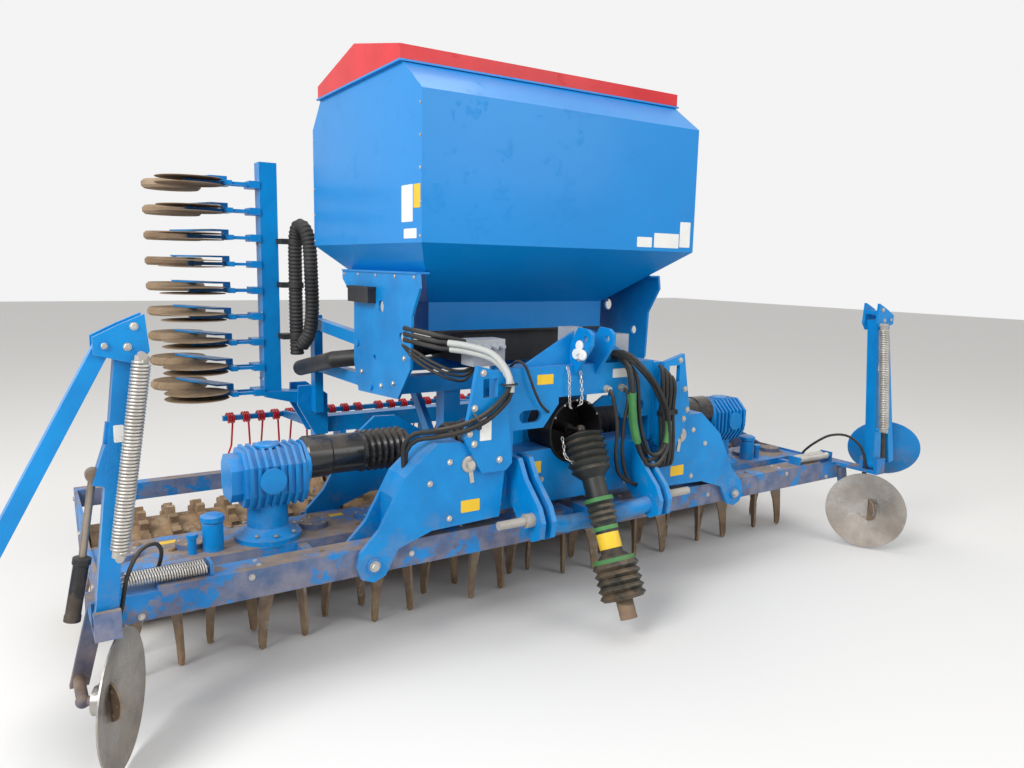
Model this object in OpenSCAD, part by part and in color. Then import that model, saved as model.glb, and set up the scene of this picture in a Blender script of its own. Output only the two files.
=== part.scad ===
// Folding power harrow with a mounted pneumatic seed drill, parked on its rollers and press wheels.
// Millimetres. X runs across the machine, Y runs to the rear and Z runs up.
// Shapes are placed from the middle of the front bar at floor level, then moved to the hitch.

/* [Hitch] */
// Height of the lower link pins above the floor
hitch_z = 540; // [500:5:600]
// Distance of the lower link pins ahead of the front bar
hitch_ahead = 270; // [250:5:300]
// Distance between the shoulders of the lower link pins
link_span = 825; // [800:5:850]
// Diameter of the lower link pins
link_pin_d = 36.6; // [28:0.1:37]
// Free length of each lower link pin
link_pin_len = 130; // [110:5:150]
// Height of the top link pin above the floor
top_link_z = 1290; // [1250:5:1330]
// Diameter of the top link's bore
top_bore_d = 32.2; // [25:0.1:33]
// Gap between the top link ears
top_gap = 104; // [80:2:120]
// Diameter of the curved draft tube
draft_tube_d = 76; // [60:2:90]

/* [Wings] */
// Sideways place of each wing's fold pin
fold_x = 1035; // [1000:5:1070]
// Height of each wing's fold pin
fold_z = 420; // [410:5:440]
// Diameter of the fold pins
fold_pin_d = 60; // [50:2:64]
// Outer end of a wing
wing_out = 1985; // [1960:5:2010]
// Inner end of a wing
wing_in = 32; // [30:1:36]
// Depth of the front bar
bar_w = 110; // [90:5:120]
// Height of the front bar
bar_h = 110; // [90:5:120]
// Height of the front bar's underside
bar_z = 378; // [370:2:390]
// Place of the rotor line behind the front bar
rotor_y = 320; // [300:5:340]
// Width of the gear trough
trough_w = 330; // [300:5:340]
// Height of the gear trough
trough_h = 120; // [100:5:130]

/* [Rotors] */
// Number of rotors on a wing
rotor_count = 8; // [8:1:8]
// Distance between two rotors
rotor_pitch = 250; // [245:1:252]
// Reach of a tine tip from its rotor's axis
tine_reach = 112; // [100:1:115]
// Thickness of a tine
tine_t = 15; // [10:1:18]

/* [Roller] */
// Diameter of the packer roller over its teeth
roller_d = 500; // [480:5:510]
// Place of the roller behind the front bar
roller_y = 810; // [800:5:830]
// Number of rings on a roller
roller_rings = 15; // [12:1:16]

/* [Hopper] */
// Width of the hopper
hopper_w = 1530; // [1480:10:1560]
// Depth of the hopper
hopper_d = 1300; // [1260:10:1320]
// Thickness of the hopper's walls
hopper_wall = 5; // [4:0.5:8]
// Height of the upper fold
shoulder_z = 2290; // [2250:10:2310]
// Height of the lower fold
crease_z = 1690; // [1670:10:1710]
// Height of the hopper's rim
rim_z = 2430; // [2400:5:2440]
// Height of the ledge where the funnel ends
ledge_z = 1425; // [1410:5:1440]
// Rise of the lid's ridge above the hopper's rim
lid_rise = 164; // [150:2:180]

/* [Coulters] */
// Distance between two seed rows
row_pitch = 150; // [145:1:152]
// Place of the coulter rails behind the front bar
rail_y = 1800; // [1780:5:1830]
// Height of the middle coulter rail
rail_z = 600; // [590:5:610]
// Side of a coulter rail
rail_w = 100; // [90:5:110]
// Sideways place of each rail's fold pin
rail_fold_x = 700; // [695:5:715]
// Height of each rail's fold pin
rail_fold_z = 780; // [770:5:790]
// Diameter of the coulter discs
coulter_d = 350; // [330:5:360]
// Diameter of the press wheels
press_d = 330; // [310:5:340]
// Distance from a coulter disc back to its press wheel
press_back = 400; // [380:5:420]

/* [Markers] */
// Height of a marker arm's upper hinge
marker_top_z = 1350; // [1320:5:1370]
// Swing of the left outer arm away from hanging
left_swing = 28; // [10:1:35]
// Swing of the right outer arm away from hanging
right_swing = 12; // [6:1:20]
// Length of an outer arm
outer_len = 860; // [820:10:900]
// Diameter of the marker discs
marker_d = 400; // [360:10:420]
// Diameter of the boundary discs
boundary_d = 440; // [400:10:450]

/* [Hidden] */
$fn = 48;
blue = [0.02, 0.42, 0.78];
steel = [0.55, 0.55, 0.55];
black = [0.08, 0.08, 0.08];
soil = [0.45, 0.34, 0.22];
red = [0.75, 0.06, 0.06];
ROTORS = [for (s = ["left", "right"], i = [1:8]) str("rotor_", s, "_", i)];

// Moves shop coordinates (front bar, floor) to the hitch point
module at_hitch() translate([0, hitch_ahead, -hitch_z]) children();
// Shapes are drawn for the left side; side 1 mirrors them to the right
module on_side(s) if (s > 0) mirror([1, 0, 0]) children(); else children();
// Plate whose outline lies in X-Z, from y back by t
module plate_xz(points, y, t) translate([0, y + t, 0]) rotate([90, 0, 0]) linear_extrude(t) polygon(points);
// Plate whose outline lies in Y-Z, from x across by t
module plate_yz(points, x, t) translate([x, 0, 0]) rotate([90, 0, 90]) linear_extrude(t) polygon(points);
// Box between two corners
module box(a, b) translate(a) cube(b - a);
// Round bar from one point to another
module bar(a, b, r) {
    d = b - a;
    translate(a) rotate([0, acos(d[2] / norm(d)), atan2(d[1], d[0])]) cylinder(h = norm(d), r = r);
}
// Square tube from one point to another in an X-Z plane
module square_bar(a, b, w, y, t) {
    d = b - a;
    translate([a[0], y, a[1]]) rotate([0, 90 - atan2(d[1], d[0]), 0])
        translate([-w / 2, 0, 0]) cube([w, t, norm(d)]);
}
// Round boss lying along Y
module boss_y(x, y, z, r, l) translate([x, y + l, z]) rotate([90, 0, 0]) cylinder(h = l, r = r);
// Round boss lying along X
module boss_x(x, y, z, r, l) translate([x, y, z]) rotate([0, 90, 0]) cylinder(h = l, r = r);

// Headstock: uprights, beams, arch and the ears of the top link
beam_y = -130;
upright = [[-586, 1196], [-456, 1160], [-410, 770], [-440, 740], [-560, 740], [-645, 895], [-618, 1026]];
top_link_y = -205;
ear_t = 18;
ear = [[-40, 1120], [-130, 1120], [-245, 1265], [-245, 1315], [-215, 1335], [-150, 1340], [-40, 1180]];
module headstock() color(blue) at_hitch() {
    difference() {
        union() {
            box([-410, beam_y, 1030], [410, 20, 1170]);
            for (s = [-1, 1]) on_side(s) {
                plate_xz(upright, beam_y - 30, 24);
                box([-470, beam_y - 6, 800], [-410, beam_y + 70, 1160]);
                plate_xz([[-410, 900], [-230, 900], [-150, 1000], [-150, 1030], [-410, 1030]], beam_y, 20);
                plate_xz([[-330, 1170], [-52, 1320], [-52, 1170]], -100, 14);
                plate_yz(ear, -top_gap / 2 - ear_t, ear_t);
                plate_yz([[beam_y, 780], [beam_y, 1100], [20, 1100], [90, 780]], -410, 20);
            }
        }
        boss_x(-top_gap / 2 - ear_t - 1, top_link_y, top_link_z, top_bore_d / 2, top_gap + 2 * ear_t + 2);
        for (s = [-1, 1]) on_side(s) {
            box([-560, beam_y - 40, 1060], [-490, beam_y + 20, 1140]);
            for (dx = [-30, 30])
                boss_y(-300 + dx, beam_y - 1, 955, 28, 40);
            box([-330, beam_y - 1, 927], [-270, beam_y + 40, 983]);
        }
    }
}

// Hinge frame: lower cross beam and the boxed arms that reach out to the fold pins
arm_front = [[-430, 750], [-552, 821], [-650, 880], [-755, 884], [-900, 760], [-1010, 560], [-1090, 480],
    [-1105, 420], [-1085, 370], [-1035, 350], [-985, 370], [-930, 470], [-780, 520], [-455, 530]];
arm_fill = [[-430, 750], [-552, 821], [-650, 880], [-755, 884], [-900, 760], [-945, 680], [-945, 520],
    [-780, 520], [-455, 530]];
arm_t = 20;
arm_gap = 5;
rear_arm_y = 512;
module hinge_frame() color(blue) at_hitch() {
    difference() {
        box([-450, -60, 530], [450, 90, 780]);
        boss_y(0, -61, shaft_z, 153, 160);
    }
    for (s = [-1, 1]) on_side(s) {
        for (y = [-bar_w - arm_gap - arm_t, arm_gap, rear_arm_y]) difference() {
            plate_xz(arm_front, y, arm_t);
            boss_y(-fold_x, y - 1, fold_z, fold_pin_d / 2 + 0.05, 30);
        }
        plate_xz(arm_fill, -bar_w - arm_gap, bar_w + 2 * arm_gap);
        box([-450, 90, 560], [-300, rear_arm_y, 700]);
        boss_y(-fold_x, -bar_w - arm_gap - arm_t - 10, fold_z, fold_pin_d / 2, bar_w + 2 * arm_gap + 2 * arm_t + 20);
        boss_y(-fold_x, rear_arm_y - 25, fold_z, fold_pin_d / 2, arm_t + 50);
    }
    box([-450, rear_arm_y, 560], [450, rear_arm_y + 60, 700]);
    box([-300, 130, 680], [300, 390, 700]);
}

// Draft tube: curved tube between the link brackets, with the link pins
link_plate = [[-60, 780], [-60, 600], [-200, 470], [-270, 440], [-330, 470], [-340, 540], [-310, 600],
    [-200, 700], [-150, 780]];
module draft_tube() {
    at_hitch() {
        color(blue) {
            for (s = [-1, 1], x = [40, 95]) on_side(s) plate_yz(link_plate, -link_span / 2 + x, 22);
            for (s = [-1, 1]) on_side(s) bar([-link_span / 2 + 102.5, -255, 505], [-130, -185, 458],
                draft_tube_d / 2);
            bar([-130, -185, 458], [130, -185, 458], draft_tube_d / 2);
            for (x = [-130, 130]) translate([x, -185, 458]) sphere(draft_tube_d / 2 + 0.6);
        }
        color(steel) for (s = [-1, 1]) on_side(s) {
            boss_x(-link_span / 2 - link_pin_len, -hitch_ahead, hitch_z, link_pin_d / 2, link_pin_len + 120);
            boss_x(-link_span / 2, -hitch_ahead, hitch_z, 30, 40);
        }
    }
}

// Centre gearbox with its round shaft guard
shaft_z = 850;
module centre_gearbox() at_hitch() {
    color(blue) box([-170, 120, 700], [170, 395, 995]);
    color(black) difference() {
        boss_y(0, -70, shaft_z, 150, 190);
        boss_y(0, -71, shaft_z, 142, 171);
    }
    color(steel) {
        boss_y(0, -20, shaft_z, 24, 130);
        bar([0, -21, shaft_z], pto_top, 11);
        translate(pto_top) sphere(23.2);
    }
}

// Drive guards: bells on the shafts that leave the centre gearbox
guard_y = 260;
guard_z = 790;
module drive_guards() color(black) at_hitch() for (s = [-1, 1]) on_side(s)
    translate([-170, guard_y, guard_z]) rotate([0, -90, 0]) rotate_extrude()
        polygon(concat([[0, 0]], [for (i = [0:9]) [i % 2 == 0 ? 88 : 76, 190 + i * 18]], [[0, 352]]));

// Wing gearbox: finned housing with its smooth guard and bellows, on the wing
module wing_gearbox(s) at_hitch() on_side(s) {
    color(blue) difference() {
        box([-1490, 158, trough_z + trough_h], [-1190, 400, 850]);
        for (i = [0:6]) box([-1470 + i * 40, 150, 660], [-1452 + i * 40, 172, 870]);
    }
    color(black) translate([-1190, guard_y, guard_z]) rotate([0, 90, 0]) rotate_extrude()
        polygon(concat([[0, 0], [88, 0], [88, 250]],
            [for (i = [0:11]) [i % 2 == 0 ? 92 : 78, 260 + i * 18]], [[0, 470]]));
}

// PTO shaft: hanging from its chain, bellows at both ends and the yoke
pto_top = [0, -106, 862];
pto_end = [0, -490, 95];
pto_dir = pto_end - pto_top;
pto_len = norm(pto_dir);
module pto_shaft() at_hitch() translate(pto_top)
    rotate([0, acos(pto_dir[2] / pto_len), atan2(pto_dir[1], pto_dir[0])]) {
        color(black) rotate_extrude() polygon(concat([[20, 12], [40, 12]],
            [for (i = [0:9]) [i % 2 == 0 ? 100 : 84, 30 + i * 16]], [[92, 190], [52, 230], [52, 330]],
            [for (i = [0:7]) [i % 2 == 0 ? 66 : 54, 340 + i * 14]],
            [[50, 460], [50, pto_len - 290], [92, pto_len - 250]],
            [for (i = [0:9]) [i % 2 == 0 ? 104 : 88, pto_len - 230 + i * 16]], [[20, pto_len - 80]]));
        color(steel) difference() {
            translate([0, 0, pto_len - 81]) cylinder(h = 81, r = 38);
            translate([0, 0, pto_len - 62]) cylinder(h = 63, r = 17.5);
        }
    }

// Hopper: folded sheet with a funnel, open at the top and at the funnel's mouth
lid_y0 = 190;
lid_y1 = 1165;
funnel_x = 520;
funnel_y0 = 420;
funnel_y1 = 880;
neck_z = 1290;
stand_x = hopper_w / 2 - 65;
ridge_z = rim_z + lid_rise;
stand_top = 1560;
// Inner edge of the stand's flange, just inside the funnel's sloping wall
flange_in = funnel_x + (hopper_w / 2 - funnel_x) * (stand_top - ledge_z) / (crease_z - ledge_z) - 1.81132;
// One level of the hopper: half width, front, rear, height
levels = [[funnel_x, funnel_y0, funnel_y1, ledge_z], [hopper_w / 2, 0, hopper_d, crease_z],
    [hopper_w / 2, 0, hopper_d, shoulder_z], [hopper_w / 2, lid_y0, lid_y1, rim_z]];
module frustum(lo, hi, inset) polyhedron(
    points = [for (l = [lo, hi]) for (p = [[-1, 1], [1, 1], [1, 2], [-1, 2]])
        [p[0] * (l[0] - inset), l[p[1]] + (p[1] == 1 ? inset : -inset), l[3]]],
    faces = [[0, 1, 2, 3], [7, 6, 5, 4], [0, 4, 5, 1], [1, 5, 6, 2], [2, 6, 7, 3], [3, 7, 4, 0]]);
function side_outline(i) = [[i, crease_z], [i, shoulder_z], [lid_y0 + i, rim_z + 1], [lid_y1 - i, rim_z + 1],
    [hopper_d - i, shoulder_z], [hopper_d - i, crease_z]];
module hopper() color(blue) at_hitch() {
    difference() {
        union() {
            plate_yz([[0, crease_z], [0, shoulder_z], [lid_y0, rim_z], [lid_y1, rim_z], [hopper_d, shoulder_z],
                [hopper_d, crease_z]], -hopper_w / 2, hopper_w);
            frustum(levels[0], levels[1], 0);
            box([-funnel_x, funnel_y0, neck_z], [funnel_x, funnel_y1, ledge_z]);
            for (s = [-1, 1]) on_side(s) box([-stand_x - 8, 170, stand_top], [-flange_in, 1050, stand_top + 8]);
            box([-hopper_w / 2 - 18, lid_y0 - 20, rim_z - 8], [hopper_w / 2 + 18, lid_y1 + 20, rim_z]);
        }
        plate_yz(side_outline(hopper_wall), -hopper_w / 2 + hopper_wall, hopper_w - 2 * hopper_wall);
        frustum(levels[0], levels[1], hopper_wall);
        box([-funnel_x + hopper_wall, funnel_y0 + hopper_wall, neck_z - 1],
            [funnel_x - hopper_wall, funnel_y1 - hopper_wall, ledge_z + 1]);
    }
}

// Hopper lid: low gable with a turned down rim
lid_gap = 0.3;
lid_t = 4;
lid_out = 12;
module hopper_lid() color(red) at_hitch() {
    x = hopper_w / 2 + lid_out;
    mid = (lid_y0 + lid_y1) / 2;
    difference() {
        plate_yz([[lid_y0 - lid_out, rim_z + lid_gap], [lid_y0 - lid_out, rim_z + 60], [mid, ridge_z],
            [lid_y1 + lid_out, rim_z + 60], [lid_y1 + lid_out, rim_z + lid_gap]], -x, 2 * x);
        plate_yz([[lid_y0 - lid_out + lid_t, rim_z + lid_gap - 1],
            [lid_y0 - lid_out + lid_t, rim_z + 60 - lid_t], [mid, ridge_z - lid_t],
            [lid_y1 + lid_out - lid_t, rim_z + 60 - lid_t], [lid_y1 + lid_out - lid_t, rim_z + lid_gap - 1]],
            -x + lid_t, 2 * (x - lid_t));
    }
}

// Hopper stand: side plates from the harrow frame up to the funnel, with cross members
stand = [[160, stand_top], [150, 1500], [229, 1373], [240, 1138], [374, 983], [850, 956], [909, 1104], [901, 1411],
    [1060, 1520], [1060, stand_top]];
// Pivots of the coulter frame's arms in the stand, and where the arms end at the rear mast
arm_pivots = [[685, 1000], [857, 1201]];
arm_ends = [[1650, 990], [1650, 1240]];
arm_pin_r = 20;
arm_pin_end = 618;
module hopper_stand() color(blue) at_hitch() {
    for (s = [-1, 1]) on_side(s) difference() {
        plate_yz(stand, -stand_x, 12);
        for (h = concat([[336, 1273, 22], [640, 1146, 16], [560, 1400, 30]],
            [for (p = arm_pivots) [p[0], p[1], arm_pin_r + 0.05]])) boss_x(-stand_x - 1, h[0], h[1], h[2], 14);
    }
    for (s = [-1, 1]) on_side(s) {
        box([-440, 410, 700], [-350, 490, 1000]);
        plate_yz([[820, 1000], [900, 1000], [620, 700], [540, 700]], -420, 30);
    }
    box([-stand_x + 12, 400, 1000], [stand_x - 12, 500, 1080]);
    box([-stand_x + 12, 720, 1060], [stand_x - 12, 800, 1120]);
}

// Metering unit under the funnel
module meter_unit() color(black) at_hitch() {
    box([-300, funnel_y0 + 60, 1120], [300, funnel_y1 - 60, neck_z - 10]);
    box([-funnel_x, funnel_y0, neck_z - 10], [funnel_x, funnel_y1, neck_z]);
    for (s = [-1, 1]) on_side(s) {
        bar([-290, 740, 1190], [-500, 960, 1120], 45);
        bar([-500, 960, 1120], [-730, 1130, 1085], 45);
        bar([-730, 1130, 1085], [-760, 1600, 985], 45);
        for (p = [[-500, 960, 1120], [-730, 1130, 1085]]) translate(p) sphere(45.6);
    }
}

// Fan with its round housing
module fan() color(steel) at_hitch() {
    translate([0, 1130, 1330]) rotate([0, 90, 0]) translate([0, 0, -90]) cylinder(h = 180, r = 190);
    box([-70, funnel_y1 - 60, 1200], [70, 1130, 1280]);
}

// Control boxes and filter under the funnel's front
module control_boxes() color(steel) at_hitch() {
    box([-40, -35, 1170], [45, 40, 1330]);
    box([75, -35, 1170], [330, 40, 1290]);
}

// Hydraulic and electric lines held at both ends
module hose_set() color(black) at_hitch() {
    for (i = [0:3]) bar([430 + i * 26, -172, 1150 - i * 20], [440 + i * 26, -172, 640], 11);
    box([425, -178, 900], [525, beam_y - 30, 930]);
}

// Coulter frame: middle rail, parallel arms and the brackets of the folding rails
module coulter_frame() color(blue) at_hitch() {
    box([-600, rail_y - rail_w / 2, rail_z - rail_w / 2], [600, rail_y + rail_w / 2, rail_z + rail_w / 2]);
    for (s = [-1, 1]) on_side(s) {
        plate_xz([[-560, 550], [-560, 800], [-640, 860], [-740, 860], [-745, 740], [-640, 550]], rail_y - 90, 20);
        plate_xz([[-560, 550], [-560, 800], [-640, 860], [-740, 860], [-745, 740], [-640, 550]], rail_y + 70, 20);
        for (i = [0, 1]) {
            plate_yz([arm_pivots[i] + [0, 32], arm_pivots[i] - [0, 32], arm_ends[i] - [0, 32], arm_ends[i] + [0, 32]],
                -660, 50);
            boss_x(-660, arm_pivots[i][0], arm_pivots[i][1], 32, 50);
            boss_x(-stand_x - 8, arm_pivots[i][0], arm_pivots[i][1], arm_pin_r, stand_x + 8 - arm_pin_end);
        }
        boss_y(-rail_fold_x, rail_y - 95, rail_fold_z, 20, 190);
        box([-660, 1640, 700], [-610, rail_y - 85, 1290]);
        box([-600, rail_y - 85, rail_z - 45], [-560, rail_y + 85, rail_z + 45]);
    }
}

// Coulter: clamp, twin links and the leg that carries the discs, with the press wheel's arm behind
disc_z = coulter_d / 2 + 4;
pin_r = 12;
module coulter_unit(x) translate([x, rail_y, 0]) {
    color(blue) {
        box([-20, -60, rail_z - 110], [20, 60, rail_z - rail_w / 2]);
        box([-8, -60, rail_z - 250], [8, -30, rail_z - 90]);
        box([-8, 40, rail_z - 250], [8, 60, rail_z - 90]);
    }
    color(black) {
        box([-14, -70, rail_z - 240], [14, 80, rail_z - 205]);
        box([-9, -25, disc_z - 25], [9, 25, rail_z - 240]);
        box([-46, 50, rail_z - 240], [-14, 80, rail_z - 205]);
        plate_yz([[80, rail_z - 205], [50, rail_z - 205], [50, rail_z - 300], [press_back + 30, press_d / 2 - 20],
            [press_back + 70, press_d / 2 - 20], [press_back + 70, press_d / 2 + 20]], -46, 10);
    }
    color(steel) {
        boss_x(-22, 0, disc_z, pin_r, 44);
        boss_x(-37, press_back + 50, press_d / 2, pin_r, 50);
    }
}
module disc_unit(x) color(steel) for (s = [-1, 1]) translate([x + s * 15, rail_y, disc_z]) rotate([0, s * 90, 0])
    rotate_extrude() polygon([[pin_r + 0.05, 0], [coulter_d / 2 - 3, 0], [coulter_d / 2, 2], [coulter_d / 2 - 3, 4],
        [60, 8], [pin_r + 0.05, 8]]);
module wheel_unit(x) color(soil) translate([x - 34, rail_y + press_back + 50, press_d / 2]) rotate([0, 90, 0])
    rotate_extrude() polygon([[pin_r + 0.05, 0], [press_d / 2 - 14, 0], [press_d / 2, 14], [press_d / 2, 36],
        [press_d / 2 - 14, 50], [pin_r + 0.05, 50]]);
centre_rows = [for (i = [-4:4]) i * row_pitch];
wing_rows = [for (i = [0:8]) -(5 + i) * row_pitch];
module coulters_centre() at_hitch() for (x = centre_rows) coulter_unit(x);
module discs_centre() at_hitch() for (x = centre_rows) disc_unit(x);
module press_wheels_centre() at_hitch() for (x = centre_rows) wheel_unit(x);

// Folds a wing rail's pieces up about its pin, from the working place to the parked one
module parked() translate([-rail_fold_x, 0, rail_fold_z]) rotate([0, 90, 0])
    translate([rail_fold_x, 0, -rail_fold_z]) children();
module rail(s) color(blue) at_hitch() on_side(s) parked() {
    box([-2080, rail_y - rail_w / 2, rail_z - rail_w / 2], [-750, rail_y + rail_w / 2, rail_z + rail_w / 2]);
    difference() {
        plate_xz([[-750, 550], [-750, 650], [-735, 800], [-700, 830], [-660, 800], [-670, 740], [-720, 550]],
            rail_y - 60, 120);
        boss_y(-rail_fold_x, rail_y - 70, rail_fold_z, 20.05, 140);
    }
}
module coulters(s) at_hitch() on_side(s) parked() for (x = wing_rows) coulter_unit(x);
module discs(s) at_hitch() on_side(s) parked() for (x = wing_rows) disc_unit(x);
module press_wheels(s) at_hitch() on_side(s) parked() for (x = wing_rows) wheel_unit(x);

// Corrugated seed hose beside a folded rail
module seed_hoses(s) color(black) at_hitch() on_side(s) {
    bar([-760, 1650, 1060], [-760, 1650, 1850], 42);
    for (z = [1150, 1450, 1750]) box([-845, 1640, z], [-755, rail_y - rail_w / 2, z + 30]);
}

// Wing frame: front bar, end plate, rear beam, roller arms and the marker post
end_t = 12;
marker_y = -350;
marker_foot = [-1995, 510];
module facing(n) rotate([0, acos(n[2] / norm(n)), atan2(n[1], n[0])]) children();
boundary_face = [0.91, -0.41, 0];
boundary_hub = [-1990, -310, boundary_d / 2 + 10];
module wing_frame(s) color(blue) at_hitch() on_side(s) {
    difference() {
        box([-1815, -bar_w, bar_z], [-wing_in, 0, bar_z + bar_h]);
        boss_y(-fold_x, -bar_w - 1, fold_z, fold_pin_d / 2 + 0.05, bar_w + 2);
    }
    for (x = [-1800, -1250, -760, -200])
        box([x, 0, bar_z + 10], [x + 40, rotor_y - trough_w / 2, bar_z + bar_h - 30]);
    for (y = [rear_arm_y - 23, rear_arm_y + arm_t + 3]) difference() {
        plate_xz([[-1110, 460], [-1110, 335], [-960, 335], [-960, 460]], y, 20);
        boss_y(-fold_x, y - 1, fold_z, fold_pin_d / 2 + 0.05, 30);
    }
    box([-1110, rotor_y + trough_w / 2, 325], [-960, rear_arm_y + arm_t + 23, 340]);
    for (x = [-wing_out, -wing_in - end_t]) difference() {
        plate_yz([[0, 390], [0, 475], [480, 475], [700, 540], [1090, 560], [1090, 480], [870, 180], [750, 180],
            [480, 350], [160, 345]], x, end_t);
        boss_x(x - 1, roller_y, roller_d / 2, 25.05, end_t + 2);
    }
    box([-wing_out + end_t, 1030, 480], [-wing_in - end_t, 1090, 560]);
    box([-2030, -bar_w, bar_z], [-1815, 0, 476]);
    box([-2030, marker_y - 25, 456], [-1955, 0, 476]);
    for (y = [marker_y - 25, marker_y + 65]) box([-2030, y, 456], [-1955, y + 20, 545]);
    boss_y(marker_foot[0], marker_y - 26, marker_foot[1], 15, 112);
    translate(boundary_hub) facing(boundary_face) translate([0, 0, -95]) cylinder(h = 88, r = 15);
    translate(boundary_hub - 85 * boundary_face) sphere(22);
    tail = boundary_hub - 85 * boundary_face;
    boss_y(tail[0], tail[1], tail[2], 18, -bar_w - 5 - tail[1]);
    plate_xz([[tail[0] - 28, tail[2] - 25], [tail[0] + 28, tail[2] - 25], [-1990, 400], [-1990, 470],
        [-2030, 470]], -bar_w - 18, 28);
}

// Gear trough with its bearing caps
rotor_x = [for (i = [0:7]) -rotor_pitch / 2 - i * rotor_pitch];
trough_z = 345;
module trough(s) color(blue) at_hitch() on_side(s) {
    box([-wing_out + end_t, rotor_y - trough_w / 2, trough_z],
        [-wing_in - end_t, rotor_y + trough_w / 2, trough_z + trough_h]);
    for (i = [0:7]) if (i != 5) translate([rotor_x[i], rotor_y, trough_z + trough_h]) cylinder(h = 22, r = 62);
    for (x = rotor_x) translate([x, rotor_y, trough_z - 20]) difference() {
        cylinder(h = 20, r = 70);
        translate([0, 0, -1]) cylinder(h = 18, r = 20.05);
    }
}

// Rotor: carrier plate with two blade tines
module rotor(s, i) at_hitch() on_side(s) translate([rotor_x[i], rotor_y, 0])
    rotate([0, 0, i % 2 == 0 ? 20 : 110]) {
        color(steel) translate([0, 0, trough_z - 54]) cylinder(h = 29, r = 68);
        color(steel) translate([0, 0, trough_z - 30]) cylinder(h = 22, r = 20);
        color(soil) for (a = [0, 180]) rotate([0, 0, a]) plate_xz([[26, 300], [62, 300], [90, 160],
            [tine_reach - 4, 0], [tine_reach - 30, 0], [40, 180]], -tine_t / 2, tine_t);
    }

// Packer roller: tube with toothed rings
module roller(s) color(soil) at_hitch() on_side(s) {
    len = wing_out - wing_in - 2 * end_t - 40;
    p = (len - 40) / roller_rings;
    translate([-wing_in - end_t - 20, roller_y, roller_d / 2]) rotate([0, -90, 0])
        rotate_extrude() polygon(concat([[0, -31], [25, -31], [25, 0], [200, 0]],
            [for (i = [0:roller_rings - 1], k = [0:3])
                [k == 1 || k == 2 ? roller_d / 2 : 200, 20 + i * p + (k + 0.5) * p / 5]],
            [[200, len], [25, len], [25, len + 31], [0, len + 31]]));
}

// Marker arm on the wing's corner, upright when parked
marker_head = [-1900, marker_top_z];
marker_hinge = [-1960, marker_top_z];
module marker_arm(s) at_hitch() on_side(s) {
    color(blue) {
        difference() {
            union() {
                square_bar(marker_foot, marker_head, 60, marker_y, 60);
                boss_y(marker_foot[0], marker_y - 1, marker_foot[1], 33, 62);
                for (y = [marker_y - 20, marker_y + 60])
                    plate_xz([[-1850, 1440], [-1920, 1410], [-1990, 1375], [-1990, 1325], [-1870, 1290],
                        [-1840, 1330]], y, 15);
                box([-1905, marker_y - 20, 1380], [-1850, marker_y + 75, 1400]);
            }
            boss_y(marker_foot[0], marker_y - 2, marker_foot[1], 15.05, 64);
        }
        boss_y(marker_hinge[0], marker_y - 25, marker_hinge[1], 12, 105);
    }
    color(steel) {
        bar([-1865, marker_y - 45, 1320], [-1955, marker_y - 45, 720], 20);
        boss_y(-1865, marker_y - 65, 1320, 12, 60);
        boss_y(-1955, marker_y - 65, 720, 12, 80);
    }
}
// Outer arm, drawn hanging, then swung out about its hinge
module swung(a) translate([marker_hinge[0], 0, marker_hinge[1]]) rotate([0, a, 0])
    translate([-marker_hinge[0], 0, -marker_hinge[1]]) children();
marker_face = [0.81, -0.5, -0.29];
marker_hub = [-2032, marker_y + 95, marker_top_z - outer_len + 20];
module marker_outer(s, a) color(blue) at_hitch() on_side(s) swung(a) {
    difference() {
        union() {
            box([-1983, marker_y + 2, marker_top_z - outer_len], [-1937, marker_y + 52, marker_top_z]);
            boss_y(marker_hinge[0], marker_y + 2, marker_hinge[1], 23, 50);
        }
        boss_y(marker_hinge[0], marker_y, marker_hinge[1], 12.05, 60);
    }
    translate(marker_hub) facing(marker_face) translate([0, 0, 10]) cylinder(h = 80, r = 15);
}
module marker_disc(s, a) color(blue) at_hitch() on_side(s) swung(a) translate(marker_hub) facing(marker_face)
    rotate_extrude() polygon([[0, -6], [marker_d / 2, -36], [marker_d / 2, -31], [45, -1], [45, 50], [15.05, 50],
        [15.05, 8], [0, 8]]);
module boundary_disc(s) color(steel) at_hitch() on_side(s) translate(boundary_hub) facing(boundary_face)
    rotate_extrude() polygon([[0, -5], [15.05, -5], [15.05, -50], [45, -50], [45, -3], [60, -2],
        [boundary_d / 2, 30], [boundary_d / 2, 35], [60, 4], [0, 4]]);

headstock();
hinge_frame();
draft_tube();
centre_gearbox();
drive_guards();
pto_shaft();
hopper();
hopper_lid();
hopper_stand();
meter_unit();
fan();
control_boxes();
hose_set();
coulter_frame();
coulters_centre();
discs_centre();
press_wheels_centre();
wing_frame(-1);  // wing_frame_left
wing_frame(1);  // wing_frame_right
trough(-1);  // trough_left
trough(1);  // trough_right
wing_gearbox(-1);  // wing_gearbox_left
wing_gearbox(1);  // wing_gearbox_right
roller(-1);  // roller_left
roller(1);  // roller_right
rail(-1);  // rail_left
rail(1);  // rail_right
coulters(-1);  // coulters_left
coulters(1);  // coulters_right
discs(-1);  // discs_left
discs(1);  // discs_right
press_wheels(-1);  // press_wheels_left
press_wheels(1);  // press_wheels_right
seed_hoses(-1);  // seed_hoses_left
seed_hoses(1);  // seed_hoses_right
marker_arm(-1);  // marker_arm_left
marker_arm(1);  // marker_arm_right
marker_outer(-1, left_swing);  // marker_outer_left
marker_outer(1, right_swing);  // marker_outer_right
marker_disc(-1, left_swing);  // marker_disc_left
marker_disc(1, right_swing);  // marker_disc_right
boundary_disc(-1);  // boundary_disc_left
boundary_disc(1);  // boundary_disc_right
rotor(-1, 0);  // rotor_left_1
rotor(-1, 1);  // rotor_left_2
rotor(-1, 2);  // rotor_left_3
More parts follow.
